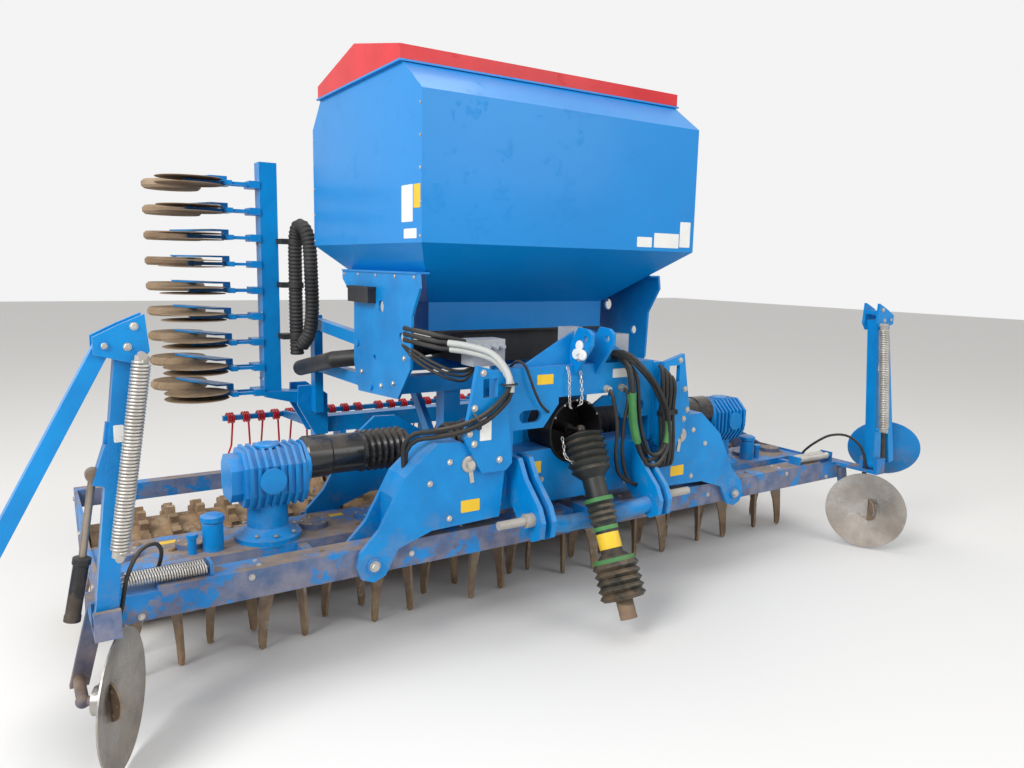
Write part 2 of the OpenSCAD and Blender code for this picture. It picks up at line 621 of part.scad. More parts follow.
rotor(-1, 3);  // rotor_left_4
rotor(-1, 4);  // rotor_left_5
rotor(-1, 5);  // rotor_left_6
rotor(-1, 6);  // rotor_left_7
rotor(-1, 7);  // rotor_left_8
rotor(1, 0);  // rotor_right_1
rotor(1, 1);  // rotor_right_2
rotor(1, 2);  // rotor_right_3
rotor(1, 3);  // rotor_right_4
rotor(1, 4);  // rotor_right_5
rotor(1, 5);  // rotor_right_6
rotor(1, 6);  // rotor_right_7
rotor(1, 7);  // rotor_right_8
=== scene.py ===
# %% [markdown]
# A folding power harrow carries a seed drill on its back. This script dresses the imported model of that
# machine. The solids come from the frame as they are. What is added here is paint, rust, soil, bolts,
# springs and hoses. Left and right are as seen from the front, where the camera stands.

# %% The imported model
import math
import random
import bmesh
import bpy
from mathutils import Matrix, Vector


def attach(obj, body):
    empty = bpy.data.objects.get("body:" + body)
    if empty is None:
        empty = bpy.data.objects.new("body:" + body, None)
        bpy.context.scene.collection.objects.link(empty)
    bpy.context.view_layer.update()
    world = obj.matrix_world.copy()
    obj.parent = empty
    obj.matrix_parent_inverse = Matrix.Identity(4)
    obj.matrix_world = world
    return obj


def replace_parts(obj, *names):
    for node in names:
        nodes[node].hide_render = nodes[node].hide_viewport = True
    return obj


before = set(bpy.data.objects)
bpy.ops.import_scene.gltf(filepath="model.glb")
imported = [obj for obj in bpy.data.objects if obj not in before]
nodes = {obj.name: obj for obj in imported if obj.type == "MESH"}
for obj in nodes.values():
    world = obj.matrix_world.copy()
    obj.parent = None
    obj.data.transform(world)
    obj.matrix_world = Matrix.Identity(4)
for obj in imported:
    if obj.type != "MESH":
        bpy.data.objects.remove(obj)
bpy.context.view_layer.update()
random.seed(11)

# %% [markdown]
# The camera stands at the front left, 1.6 m above the floor. It could be placed by eye, but then every edge
# lies a little off. Its place, turn and lens were worked out from the machine's own straight edges instead.

# %% The camera
FLOOR_Z = -0.540
HITCH_AHEAD = 0.270
CAMERA_PLACE = (-2.189, -2.882, 1.602)
YAW, PITCH, ROLL = math.radians(33.03), math.radians(8.61), math.radians(-1.22)
SENSOR_MM, LENS_MM, FARTHEST_SEEN = 36.0, 27.37, 60.0


def shop(x, y, z):
    """A point measured from the middle of the front bar at floor level, moved to the hitch."""
    return Vector((x, y + HITCH_AHEAD, z + FLOOR_Z))


look = Vector((math.sin(YAW) * math.cos(PITCH), math.cos(YAW) * math.cos(PITCH), -math.sin(PITCH)))
level_right = Vector((math.cos(YAW), -math.sin(YAW), 0.0))
level_up = level_right.cross(look)
right = level_right * math.cos(ROLL) - level_up * math.sin(ROLL)
up = right.cross(look)
camera_data = bpy.data.cameras.new("camera")
camera_data.sensor_width = SENSOR_MM
camera_data.lens = LENS_MM
camera_data.clip_end = FARTHEST_SEEN
camera = bpy.data.objects.new("camera", camera_data)
bpy.context.scene.collection.objects.link(camera)
turned_view = Matrix((right, up, -look)).transposed().to_4x4()
camera.matrix_world = Matrix.Translation(shop(*CAMERA_PLACE)) @ turned_view
bpy.context.scene.camera = camera
print("camera", [round(v, 3) for v in camera.location])

# %% [markdown]
# Paint, rubber and steel all need the same few effects: a patchy tone, rubbed edges, dust that lies on top
# faces and dry soil near the ground. Each effect is one node group with named inputs, built once here and
# placed in every material with its own values.

# %% Small helpers for shader groups


def shader_group(name, inputs, outputs):
    """A new group with its two end nodes; inputs are (name, kind, default)."""
    group = bpy.data.node_groups.new(name, "ShaderNodeTree")
    for label, kind, default in inputs:
        made = group.interface.new_socket(name=label, in_out="INPUT", socket_type="NodeSocket" + kind)
        made.default_value = default
    for label, kind in outputs:
        group.interface.new_socket(name=label, in_out="OUTPUT", socket_type="NodeSocket" + kind)
    return group, group.nodes.new("NodeGroupInput"), group.nodes.new("NodeGroupOutput")


def noise(tree, scale, detail=4.0, roughness=0.6):
    """Cloudy noise laid out in the metres of the part itself."""
    place = tree.nodes.new("ShaderNodeTexCoord")
    cloud = tree.nodes.new("ShaderNodeTexNoise")
    cloud.inputs["Scale"].default_value = scale
    cloud.inputs["Detail"].default_value = detail
    cloud.inputs["Roughness"].default_value = roughness
    tree.links.new(place.outputs["Object"], cloud.inputs["Vector"])
    return cloud


def ramp(tree, source, low, high):
    """Stretches the part of a value between low and high to 0..1."""
    step = tree.nodes.new("ShaderNodeMapRange")
    step.inputs["From Min"].default_value = low
    step.inputs["From Max"].default_value = high
    tree.links.new(source, step.inputs["Value"])
    return step.outputs["Result"]


def combine(tree, operation, a, b):
    """One maths step between two sockets, or a socket and a number."""
    step = tree.nodes.new("ShaderNodeMath")
    step.operation = operation
    step.use_clamp = True
    for socket, value in zip(step.inputs, (a, b)):
        if isinstance(value, (int, float)):
            socket.default_value = value
        else:
            tree.links.new(value, socket)
    return step.outputs[0]


def product(tree, first, *others):
    """Masks multiplied one after another, so that each one cuts back the last."""
    for other in others:
        first = combine(tree, "MULTIPLY", first, other)
    return first


def blend_colour(tree, share, a, b):
    """Mixes two colours by a mask; a and b are sockets or plain colours."""
    step = tree.nodes.new("ShaderNodeMix")
    step.data_type = "RGBA"
    tree.links.new(share, step.inputs["Factor"])
    for socket, value in ((step.inputs[6], a), (step.inputs[7], b)):
        if isinstance(value, tuple):
            socket.default_value = (*value, 1.0)
        else:
            tree.links.new(value, socket)
    return step.outputs[2]


def object_axes(tree):
    """The part's own x, y and z as three values."""
    place = tree.nodes.new("ShaderNodeTexCoord")
    axes = tree.nodes.new("ShaderNodeSeparateXYZ")
    tree.links.new(place.outputs["Object"], axes.inputs["Vector"])
    return axes


# %% [markdown]
# Paint wears off first where a chain or a tool rubs an edge. A bevel node rounds the normal near an edge, so
# the difference from the true normal finds every edge. Noise then breaks the line up into chips.

# %% Rubbed edges
rubbed, start, end = shader_group(
    "Rubbed edges", [("Width", "Float", 0.004), ("Amount", "Float", 0.5)], [("Mask", "Float")])
soft_edge = rubbed.nodes.new("ShaderNodeBevel")
soft_edge.samples = 4
rubbed.links.new(start.outputs["Width"], soft_edge.inputs["Radius"])
true_side = rubbed.nodes.new("ShaderNodeNewGeometry")
turn = rubbed.nodes.new("ShaderNodeVectorMath")
turn.operation = "DOT_PRODUCT"
rubbed.links.new(soft_edge.outputs["Normal"], turn.inputs[0])
rubbed.links.new(true_side.outputs["Normal"], turn.inputs[1])
edge = ramp(rubbed, turn.outputs["Value"], 0.985, 0.80)
chips = ramp(rubbed, noise(rubbed, 42.0, 6.0, 0.7).outputs["Fac"], 0.46, 0.60)
patches = ramp(rubbed, noise(rubbed, 3.5).outputs["Fac"], 0.36, 0.62)
rubbed.links.new(product(rubbed, edge, chips, patches, start.outputs["Amount"]), end.inputs["Mask"])

# %% [markdown]
# Dust settles on faces that look up and gathers in drifts. The upward part of the normal says how flat a face
# lies, and slow noise draws the drifts. This needs no painted mask, and it fits every piece.

# %% Dust on top faces
dusty, start, end = shader_group(
    "Dust on top", [("Amount", "Float", 0.4), ("Scale", "Float", 6.0)], [("Mask", "Float")])
facing_up = dusty.nodes.new("ShaderNodeNewGeometry")
split = dusty.nodes.new("ShaderNodeSeparateXYZ")
dusty.links.new(facing_up.outputs["Normal"], split.inputs["Vector"])
top = ramp(dusty, split.outputs["Z"], 0.25, 0.95)
cloud = noise(dusty, 6.0, 5.0)
dusty.links.new(start.outputs["Scale"], cloud.inputs["Scale"])
drifts = ramp(dusty, cloud.outputs["Fac"], 0.44, 0.58)
thin_cover = combine(dusty, "ADD", product(dusty, drifts, 0.8), 0.2)
dusty.links.new(product(dusty, top, thin_cover, start.outputs["Amount"]), end.inputs["Mask"])

# %% [markdown]
# Working parts throw soil up, so it is thickest near the ground and stops at a height that each finish names.
# Sharp-edged noise gives the spatter, and finer noise gives the dried crust its height.

# %% Dry soil thrown up from the ground
soiled, start, end = shader_group(
    "Soil from below", [("Amount", "Float", 0.5), ("Top", "Float", 0.1), ("Scale", "Float", 9.0)],
    [("Mask", "Float"), ("Height", "Float")])
fade = soiled.nodes.new("ShaderNodeMapRange")
fade.inputs["To Min"].default_value = 1.0
fade.inputs["To Max"].default_value = 0.0
fade.inputs["From Min"].default_value = FLOOR_Z
soiled.links.new(start.outputs["Top"], fade.inputs["From Max"])
soiled.links.new(object_axes(soiled).outputs["Z"], fade.inputs["Value"])
nearness = fade.outputs["Result"]
spatter = noise(soiled, 9.0, 8.0, 0.72)
soiled.links.new(start.outputs["Scale"], spatter.inputs["Scale"])
thrown = combine(soiled, "ADD", spatter.outputs["Fac"], product(soiled, nearness, 0.22))
blots = ramp(soiled, thrown, 0.58, 0.63)
soiled.links.new(product(soiled, blots, nearness, start.outputs["Amount"]), end.inputs["Mask"])
grit = noise(soiled, 140.0, 3.0)
soiled.links.new(product(soiled, blots, grit.outputs["Fac"]), end.inputs["Height"])

# %% [markdown]
# No real surface has one even colour. Two close tones are mixed by slow noise, which is enough to keep a
# large panel from looking like plastic film.

# %% Patchy tone
patchy, start, end = shader_group(
    "Patchy tone",
    [("Scale", "Float", 4.0), ("Dark", "Color", (0, 0, 0, 1)), ("Light", "Color", (1, 1, 1, 1))],
    [("Colour", "Color"), ("Share", "Float")])
cloud = noise(patchy, 4.0, 5.0)
patchy.links.new(start.outputs["Scale"], cloud.inputs["Scale"])
share = ramp(patchy, cloud.outputs["Fac"], 0.35, 0.65)
mixed = blend_colour(patchy, share, start.outputs["Dark"], start.outputs["Light"])
patchy.links.new(mixed, end.inputs["Colour"])
patchy.links.new(share, end.inputs["Share"])
print("shader groups:", [g.name for g in bpy.data.node_groups])

# %% [markdown]
# Each finish is a Principled shader with the shared groups in front of it. The values say how glossy the
# paint still is, how far the soil reaches up and how much the edges have lost.

# %% How a finish is made
SOIL_DARK, SOIL_LIGHT, DUST = (0.13, 0.075, 0.036), (0.31, 0.20, 0.105), (0.36, 0.28, 0.185)
SOIL_PATCHES = 14.0
DIRT_ROUGHNESS, COAT_ROUGHNESS = 0.95, 0.12
CRUST_STRENGTH, CRUST_HEIGHT = 0.35, 0.004
finishes = {}


def place_group(tree, group, **values):
    """Puts a shader group into a material and sets its inputs by name."""
    step = tree.nodes.new("ShaderNodeGroup")
    step.node_tree = group
    for label, value in values.items():
        step.inputs[label].default_value = value
    return step


def recoloured(tree, colour, axis, limit, side, other):
    """Another colour past a plane of the part; along X the plane counts on both sides."""
    level = object_axes(tree).outputs[axis]
    if axis == "X":
        size = tree.nodes.new("ShaderNodeMath")
        size.operation = "ABSOLUTE"
        tree.links.new(level, size.inputs[0])
        level = size.outputs[0]
    past = combine(tree, "GREATER_THAN" if side > 0 else "LESS_THAN", level, limit)
    return blend_colour(tree, past, colour, other)


def finish_of(name, dark, light, rough, metal=0.0, coat=0.0, edge=(0.30, 0.27, 0.24), wear=0.5,
              dust=0.3, soil=0.4, soil_top=0.0, soil_scale=9.0, tone=4.0, grain=0.0,
              grain_scale=300.0, shine=0.35, beyond=None):
    """A finish made of a patchy tone, rubbed edges, dust on top and soil from below.

    beyond is (axis, limit, side, colour): the metal or plastic that shows past a plane of the part.
    """
    made = bpy.data.materials.new(name)
    made.use_nodes = True
    tree = made.node_tree
    shader = tree.nodes["Principled BSDF"]
    base = place_group(tree, patchy, Scale=tone, Dark=(*dark, 1), Light=(*light, 1))
    edges = place_group(tree, rubbed, Amount=wear).outputs["Mask"]
    dusting = place_group(tree, dusty, Amount=dust).outputs["Mask"]
    mud = place_group(tree, soiled, Amount=soil, Top=soil_top, Scale=soil_scale)
    dirt = place_group(tree, patchy, Scale=SOIL_PATCHES, Dark=(*SOIL_DARK, 1), Light=(*SOIL_LIGHT, 1))
    colour = base.outputs["Colour"]
    if beyond:
        colour = recoloured(tree, colour, *beyond)
    colour = blend_colour(tree, edges, colour, edge)
    colour = blend_colour(tree, dusting, colour, DUST)
    colour = blend_colour(tree, mud.outputs["Mask"], colour, dirt.outputs["Colour"])
    tree.links.new(colour, shader.inputs["Base Color"])
    dry_cover = combine(tree, "MAXIMUM", product(tree, dusting, 0.8), product(tree, edges, 0.4))
    cover = combine(tree, "MAXIMUM", mud.outputs["Mask"], dry_cover)
    rise = tree.nodes.new("ShaderNodeMapRange")
    rise.inputs["To Min"].default_value = rough
    rise.inputs["To Max"].default_value = DIRT_ROUGHNESS
    tree.links.new(cover, rise.inputs["Value"])
    tree.links.new(rise.outputs["Result"], shader.inputs["Roughness"])
    if metal:
        tree.links.new(combine(tree, "SUBTRACT", metal, cover), shader.inputs["Metallic"])
    shader.inputs["Specular IOR Level"].default_value = shine
    shader.inputs["Coat Weight"].default_value = coat
    shader.inputs["Coat Roughness"].default_value = COAT_ROUGHNESS
    height = mud.outputs["Height"]
    if grain:
        texture = noise(tree, grain_scale, 2.0).outputs["Fac"]
        height = combine(tree, "ADD", height, product(tree, texture, grain))
    bump = tree.nodes.new("ShaderNodeBump")
    bump.inputs["Strength"].default_value = CRUST_STRENGTH
    bump.inputs["Distance"].default_value = CRUST_HEIGHT
    tree.links.new(height, bump.inputs["Height"])
    tree.links.new(bump.outputs["Normal"], shader.inputs["Normal"])
    finishes[name] = made


# %% [markdown]
# The hopper is the cleanest part, because nothing rubs it. The frame's paint has lost its edges. Four pieces
# are cast or welded from more than one metal, so their finish changes colour past a plane.

# %% Paints
BLUE_DARK, BLUE_LIGHT = (0.0, 0.180, 0.49), (0.0, 0.245, 0.62)
STEEL, BLACK, RUSTY = (0.36, 0.34, 0.31), (0.014, 0.014, 0.015), (0.20, 0.14, 0.10)
finish_of("hopper paint", (0.0, 0.205, 0.56), (0.0, 0.222, 0.60), 0.33, coat=0.12, wear=0.25,
          dust=0.04, soil=0.0, tone=1.2, shine=0.3)
for name, beyond in (("frame paint", None), ("gear paint", ("Y", 0.385, -1, BLACK)),
                     ("tube paint", ("X", 0.374, 1, STEEL)), ("arm paint", ("Y", -0.1055, -1, STEEL))):
    finish_of(name, BLUE_DARK, BLUE_LIGHT, 0.38, coat=0.1, wear=0.7, dust=0.30, soil=0.55,
              soil_top=0.20, shine=0.3, beyond=beyond)
finish_of("harrow paint", (0.0, 0.155, 0.45), (0.01, 0.215, 0.56), 0.45, wear=0.9, dust=0.75,
          soil=1.0, soil_top=0.60, soil_scale=6.0)
finish_of("red paint", (0.52, 0.008, 0.012), (0.62, 0.012, 0.02), 0.36, coat=0.15, wear=0.3,
          dust=0.08, soil=0.0, shine=0.3)
for name, dark, light in (("white label", (0.72, 0.72, 0.70), (0.80, 0.80, 0.78)),
                          ("yellow label", (0.74, 0.46, 0.02), (0.82, 0.54, 0.04))):
    finish_of(name, dark, light, 0.4, wear=0.2, dust=0.2, soil=0.1)

# %% [markdown]
# Plastic and rubber are nearly black, with grey where they are scuffed. Fine grain in the bump keeps a guard
# apart from a painted plate under the same lamp.

# %% Plastics and rubber
SCUFFED = (0.12, 0.12, 0.12)
finish_of("shaft plastic", (0.012, 0.014, 0.013), (0.026, 0.030, 0.028), 0.42, wear=0.3, dust=0.28,
          soil=0.5, soil_top=0.1, edge=SCUFFED, grain=0.3, beyond=("Z", -0.378, -1, RUSTY))
finish_of("black plastic", (0.012, 0.012, 0.013), (0.03, 0.03, 0.032), 0.45, wear=0.3, dust=0.25,
          soil=0.35, soil_top=0.4, edge=SCUFFED, grain=0.4)
finish_of("shiny black", (0.010, 0.010, 0.011), (0.018, 0.018, 0.019), 0.22, coat=0.3, wear=0.2,
          dust=0.22, soil=0.2, soil_top=0.35, edge=SCUFFED)
finish_of("black rubber", (0.012, 0.012, 0.012), (0.035, 0.035, 0.035), 0.6, wear=0.2, dust=0.25,
          soil=0.3, edge=(0.10, 0.10, 0.10), grain=0.5)
finish_of("pale sleeve", (0.42, 0.44, 0.42), (0.55, 0.56, 0.54), 0.6, wear=0.1, soil=0.1)
finish_of("green sleeve", (0.04, 0.16, 0.05), (0.07, 0.24, 0.07), 0.55, wear=0.2, soil=0.2)

# %% [markdown]
# Steel that works in the soil is brown where it is caked and bright where it is polished. The same shader
# does both: the metal share falls wherever the soil covers it.

# %% Metals and dry soil
BRIGHT_EDGE = (0.6, 0.58, 0.55)
finish_of("bare steel", (0.30, 0.28, 0.26), (0.52, 0.50, 0.47), 0.34, metal=0.95, wear=0.4, dust=0.15,
          soil=0.35, soil_top=0.1, edge=BRIGHT_EDGE)
finish_of("bolt steel", (0.42, 0.40, 0.37), (0.60, 0.58, 0.54), 0.38, metal=0.7, wear=0.3, dust=0.25,
          soil=0.45, soil_top=0.1, edge=BRIGHT_EDGE, tone=9.0)
finish_of("worn iron", (0.20, 0.15, 0.11), (0.42, 0.36, 0.30), 0.45, metal=0.7, wear=0.6, soil=0.8,
          soil_top=0.1, edge=(0.5, 0.46, 0.42), soil_scale=12.0)
finish_of("caked iron", (0.20, 0.13, 0.08), (0.36, 0.27, 0.18), 0.85, wear=0.4, dust=0.5, soil=1.0,
          soil_top=1.6, soil_scale=16.0, grain=0.8, grain_scale=90.0)
finish_of("dry clod", SOIL_DARK, SOIL_LIGHT, 0.95, wear=0.0, dust=0.4, soil=1.0, soil_top=1.0,
          soil_scale=40.0, grain=1.0, grain_scale=120.0)
finish_of("grey metal", (0.28, 0.30, 0.33), (0.40, 0.42, 0.45), 0.4, wear=0.3, dust=0.2, soil=0.0)
print(len(finishes), "finishes")

# %% [markdown]
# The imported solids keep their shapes, so they only need the right finish. The first line of this table that
# a solid's name begins with gives its finish, and what the table doesn't name is frame paint.

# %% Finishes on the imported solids
NODE_FINISHES = (
    ("hopper_lid", "red paint"), ("hopper_stand", "frame paint"), ("hopper", "hopper paint"),
    ("drive_guards", "black plastic"), ("meter_unit", "black plastic"), ("pto_shaft", "shaft plastic"),
    ("centre_gearbox", "gear paint"), ("draft_tube", "tube paint"), ("marker_arm", "arm paint"),
    ("hose_set", "black rubber"), ("seed_hoses", "black rubber"), ("boundary_disc", "bare steel"),
    ("rotor", "worn iron"), ("roller", "caked iron"), ("press_wheels", "caked iron"),
    ("discs", "caked iron"), ("control_boxes", "grey metal"), ("fan", "grey metal"),
    ("wing_frame", "harrow paint"), ("trough", "harrow paint"), ("", "frame paint"))
for name, solid in nodes.items():
    solid.data.materials.clear()
    solid.data.materials.append(finishes[next(f for begins, f in NODE_FINISHES if name.startswith(begins))])
print("finishes set on", len(nodes), "solids")

# %% [markdown]
# Everything that is added to the solids is one of a few kinds: turned parts, plates, bolts and bent bars.
# One helper makes each kind as a mesh, so a piece is a short list of real sizes. Every piece rides on the
# body that carries it, and names the material slot that it belongs to.

# %% Makers for the added pieces
SIDES = {"left": -1, "right": 1}
ACROSS, FRONT, UP = (1, 0, 0), (0, -1, 0), (0, 0, 1)
SHARP_ANGLE = math.radians(35)


def put_on(body, name, data, finish):
    """A piece of mesh or curve data in its finish, on the body that carries it."""
    data.materials.append(finishes[finish])
    piece = bpy.data.objects.new(name, data)
    bpy.context.scene.collection.objects.link(piece)
    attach(piece, body)
    return piece


def piece_from(name, shape, finish, body, smooth=True):
    """Turns a bmesh into a piece; a smooth one keeps its sharp corners."""
    bmesh.ops.recalc_face_normals(shape, faces=shape.faces)
    mesh = bpy.data.meshes.new(name)
    shape.to_mesh(mesh)
    shape.free()
    if smooth:
        mesh.polygons.foreach_set("use_smooth", [True] * len(mesh.polygons))
        mesh.set_sharp_from_angle(angle=SHARP_ANGLE)
    print(name, len(mesh.polygons), "faces on", body)
    return put_on(body, name, mesh, finish)


def frame_along(direction):
    """A turn that takes +Z to the given direction."""
    return Vector(direction).normalized().to_track_quat("Z", "Y").to_matrix().to_4x4()


def close_band(shape, lower, upper):
    """Joins two rings of corners with a band of faces, with no face where both meet in a point."""
    for k in range(len(lower)):
        after = (k + 1) % len(lower)
        corners = []
        for vert in (lower[k], lower[after], upper[after], upper[k]):
            if vert not in corners:
                corners.append(vert)
        if len(corners) > 2:
            shape.faces.new(corners)


def turned(shape, profile, place, direction, steps=24):
    """Adds a turned part: (radius, height) points swept round an axis."""
    stand = Matrix.Translation(place) @ frame_along(direction)
    rings = []
    for radius, height in profile:
        if radius == 0:
            rings.append([shape.verts.new(stand @ Vector((0, 0, height)))] * steps)
            continue
        angles = [k * math.tau / steps for k in range(steps)]
        rings.append([shape.verts.new(stand @ Vector((radius * math.cos(a), radius * math.sin(a), height)))
                      for a in angles])
    for lower, upper in zip(rings, rings[1:]):
        close_band(shape, lower, upper)


def pin(shape, radius, low, high, place, direction, steps):
    """Adds a round bar or disc with closed ends."""
    turned(shape, [(0, low), (radius, low), (radius, high), (0, high)], place, direction, steps)


def sleeve(shape, inner, outer, low, high, place, direction, steps):
    """Adds a ring with a hole through it."""
    turned(shape, [(inner, low), (outer, low), (outer, high), (inner, high), (inner, low)], place,
           direction, steps)


def bolt(shape, place, direction, size):
    """Adds a bolt head on its washer: size is the washer's radius."""
    pin(shape, size, -0.001, 0.0022, place, direction, 20)
    turned(shape, [(0, 0.002), (0.8 * size, 0.002), (0.8 * size, 0.48 * size),
                   (0.66 * size, 0.62 * size), (0, 0.62 * size)], place, direction, 6)


def slab(shape, outline, plane, start, depth):
    """Adds a plate: an outline drawn in the xz, yz or xy plane, from start on by depth."""
    def corner(a, b, c):
        return shop(*{"xz": (a, c, b), "yz": (c, a, b), "xy": (a, b, c)}[plane])
    front = [shape.verts.new(corner(a, b, start)) for a, b in outline]
    back = [shape.verts.new(corner(a, b, start + depth)) for a, b in outline]
    shape.faces.new(front)
    shape.faces.new(back)
    close_band(shape, front, back)


def box_into(shape, low, high):
    """Adds a box between two shop corners."""
    slab(shape, [(low[0], low[1]), (high[0], low[1]), (high[0], high[1]), (low[0], high[1])], "xy",
         low[2], high[2] - low[2])


def mirror(shape):
    """Turns a left piece into its right twin."""
    bmesh.ops.transform(shape, matrix=Matrix.Scale(-1, 4, ACROSS), verts=shape.verts)


def on_both_sides(name, build, finish, body="wing_", replaced=None):
    """Builds a piece for the left side and its mirror image for the right."""
    for side, s in SIDES.items():
        shape = bmesh.new()
        build(shape)
        if s > 0:
            mirror(shape)
        piece = piece_from(name + "_" + side, shape, finish, body if body == "root" else body + side)
        if replaced:
            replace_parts(piece, replaced + side)


# %% [markdown]
# A hose or a wire is one soft line with thickness. A spline through a few bend points is drawn first. It is
# then cut into even steps, so that the line stays smooth in its bends and its length can be measured.

# %% Makers for lines and hoses
CURVE_STEPS = 24
hose_lengths = {}


def route_length(path):
    """The length of a line through all its points."""
    return sum((Vector(b) - Vector(a)).length for a, b in zip(path, path[1:]))


def smooth_path(via, count):
    """A soft curve through the given points, as evenly spaced points."""
    pts = [Vector(p) for p in via]
    pts = [2 * pts[0] - pts[1]] + pts + [2 * pts[-1] - pts[-2]]
    fine = []
    for a, b, c, d in zip(pts, pts[1:], pts[2:], pts[3:]):
        for k in range(CURVE_STEPS):
            t = k / CURVE_STEPS
            fine.append(0.5 * ((2 * b) + (c - a) * t + (2 * a - 5 * b + 4 * c - d) * t * t
                               + (3 * b - a - 3 * c + d) * t ** 3))
    fine.append(pts[-2])
    reach = [0.0]
    for a, b in zip(fine, fine[1:]):
        reach.append(reach[-1] + (b - a).length)
    even, at = [], 0
    for k in range(count):
        want = reach[-1] * k / (count - 1)
        while at < len(fine) - 2 and reach[at + 1] < want:
            at += 1
        share = (want - reach[at]) / max(reach[at + 1] - reach[at], 1e-9)
        even.append(fine[at].lerp(fine[at + 1], min(max(share, 0.0), 1.0)))
    return even


def bent_line(name, path, radius, finish, body):
    """A round line along a path, as a curve with thickness."""
    curve = bpy.data.curves.new(name, "CURVE")
    curve.dimensions = "3D"
    curve.bevel_depth = radius
    curve.bevel_resolution = 3
    curve.use_fill_caps = True
    line = curve.splines.new("POLY")
    line.points.add(len(path) - 1)
    line.use_smooth = True
    for point, place in zip(line.points, path):
        point.co = (*place, 1.0)
    return put_on(body, name, curve, finish)


def hose(name, via, diameter, body="root", count=32):
    """A hose fixed at both ends; its real length is the length of its route."""
    path = smooth_path([shop(*p) for p in via], count)
    piece = bent_line(name, path, diameter / 2, "black rubber", body)
    length = route_length(path)
    hose_lengths[name] = round(length, 3)
    return path


# %% [markdown]
# Hydraulic hoses come out from under the hopper, cross the headstock's shoulder and run down to the left
# wing. The pale sleeves on the shoulder keep them from rubbing. The hoses end in the top of the boxed arm.

# %% Hoses over the headstock's left shoulder
shoulder_route = [
    (-0.64, 0.06, 1.275), (-0.565, -0.04, 1.265), (-0.495, -0.13, 1.235), (-0.455, -0.182, 1.16),
    (-0.455, -0.192, 1.10), (-0.49, -0.188, 1.05), (-0.57, -0.182, 0.992), (-0.67, -0.165, 0.955),
    (-0.77, -0.13, 0.936), (-0.835, -0.085, 0.922), (-0.872, -0.06, 0.872), (-0.868, -0.055, 0.775)]
SLEEVED = slice(1, 13)
for k, (shift_x, shift_y, shift_z) in enumerate([(0.0, 0.0, 0.0), (0.012, 0.004, -0.027)], 1):
    route = [(x + shift_x, y + shift_y, z + shift_z) for x, y, z in shoulder_route]
    path = hose("shoulder_hose_%d" % k, route, 0.021)
    bent_line("shoulder_sleeve_%d" % k, path[SLEEVED], 0.0145, "pale sleeve", "root")
tie = bmesh.new()
for place, along in (((-0.452, -0.190, 1.115), (0, -0.1, -1)),
                     ((-0.60, -0.178, 0.966), (-0.95, 0.1, -0.35))):
    sleeve(tie, 0.034, 0.036, -0.004, 0.004, shop(*place), along, 20)
piece_from("hose_ties", tie, "black plastic", "root")

# %% [markdown]
# The valve block sits under the hopper's front. Three thick hoses come to it from behind and three thin ones
# loop below it. Each next hose of a set is the first one dropped a little, so one route serves them all.

# %% Valve block and the hoses under the hopper's front
block = bmesh.new()
box_into(block, (-0.525, -0.015, 1.171), (-0.365, 0.090, 1.286))
for x in (-0.500, -0.460, -0.420, -0.385):
    turned(block, [(0, 0), (0.014, 0), (0.014, 0.016), (0.009, 0.016), (0.009, 0.026), (0, 0.026)],
           shop(x, -0.015, 1.255), FRONT, 18)
piece_from("valve_block", block, "grey metal", "root")
for k, drop in enumerate((0.0, 0.026, 0.052), 1):
    hose("valve_hose_%d" % k, [
        (-0.70, 0.30, 1.318 - drop), (-0.685, 0.17, 1.312 - drop), (-0.64, 0.075, 1.300 - drop),
        (-0.58, 0.056, 1.285 - 0.8 * drop), (-0.518, 0.058, 1.272 - 0.5 * drop)], 0.022)
for k, drop in enumerate((0.0, 0.02, 0.04), 1):
    hose("valve_loop_%d" % k, [
        (-0.70, 0.32, 1.24), (-0.69, 0.20, 1.22 - drop), (-0.66, 0.10, 1.185 - drop),
        (-0.60, 0.05, 1.155 - drop), (-0.53, 0.04, 1.150 - drop), (-0.485 + 0.5 * drop, 0.05, 1.185),
        (-0.475 + 0.9 * drop, 0.058, 1.24)], 0.014)
hose("beam_lead", [
    (-0.200, -0.122, 0.968), (-0.225, -0.152, 0.975), (-0.265, -0.158, 1.01), (-0.300, -0.158, 1.07),
    (-0.325, -0.156, 1.13), (-0.345, -0.142, 1.185), (-0.362, -0.108, 1.198), (-0.375, -0.075, 1.171)],
    0.012)

# %% [markdown]
# The hoses for the tractor hang in big loops at the right of the headstock while the machine is parked. Each
# loop leaves the beam, goes round once and comes back. Green sleeves mark three of them. All four are one
# route drawn larger or smaller about its middle, with its two ends held in place.

# %% Parked hose loops
loop_route = [
    (0.12, -0.06, 1.168), (0.135, -0.11, 1.212), (0.185, -0.175, 1.205), (0.27, -0.20, 1.135),
    (0.355, -0.20, 1.05), (0.415, -0.20, 0.95), (0.438, -0.20, 0.85), (0.428, -0.20, 0.755),
    (0.378, -0.20, 0.70), (0.315, -0.20, 0.705), (0.268, -0.20, 0.775), (0.236, -0.195, 0.88),
    (0.224, -0.19, 0.98), (0.216, -0.19, 1.07), (0.205, -0.175, 1.15), (0.19, -0.12, 1.195),
    (0.18, -0.07, 1.168)]
LOOP_X, LOOP_Z = 0.31, 0.95
FIRST_FREE, LAST_FREE = 2, 14
loops = [  # size, shift to the side, shift to the front, diameter
    (1.0, 0.0, 0.0, 0.019), (0.88, 0.018, -0.022, 0.019), (1.07, -0.008, -0.030, 0.019),
    (0.95, 0.035, 0.020, 0.014)]
sleeves = {1: (slice(26, 33), 0.0165), 2: (slice(16, 20), 0.0155), 3: (slice(26, 33), 0.0165)}
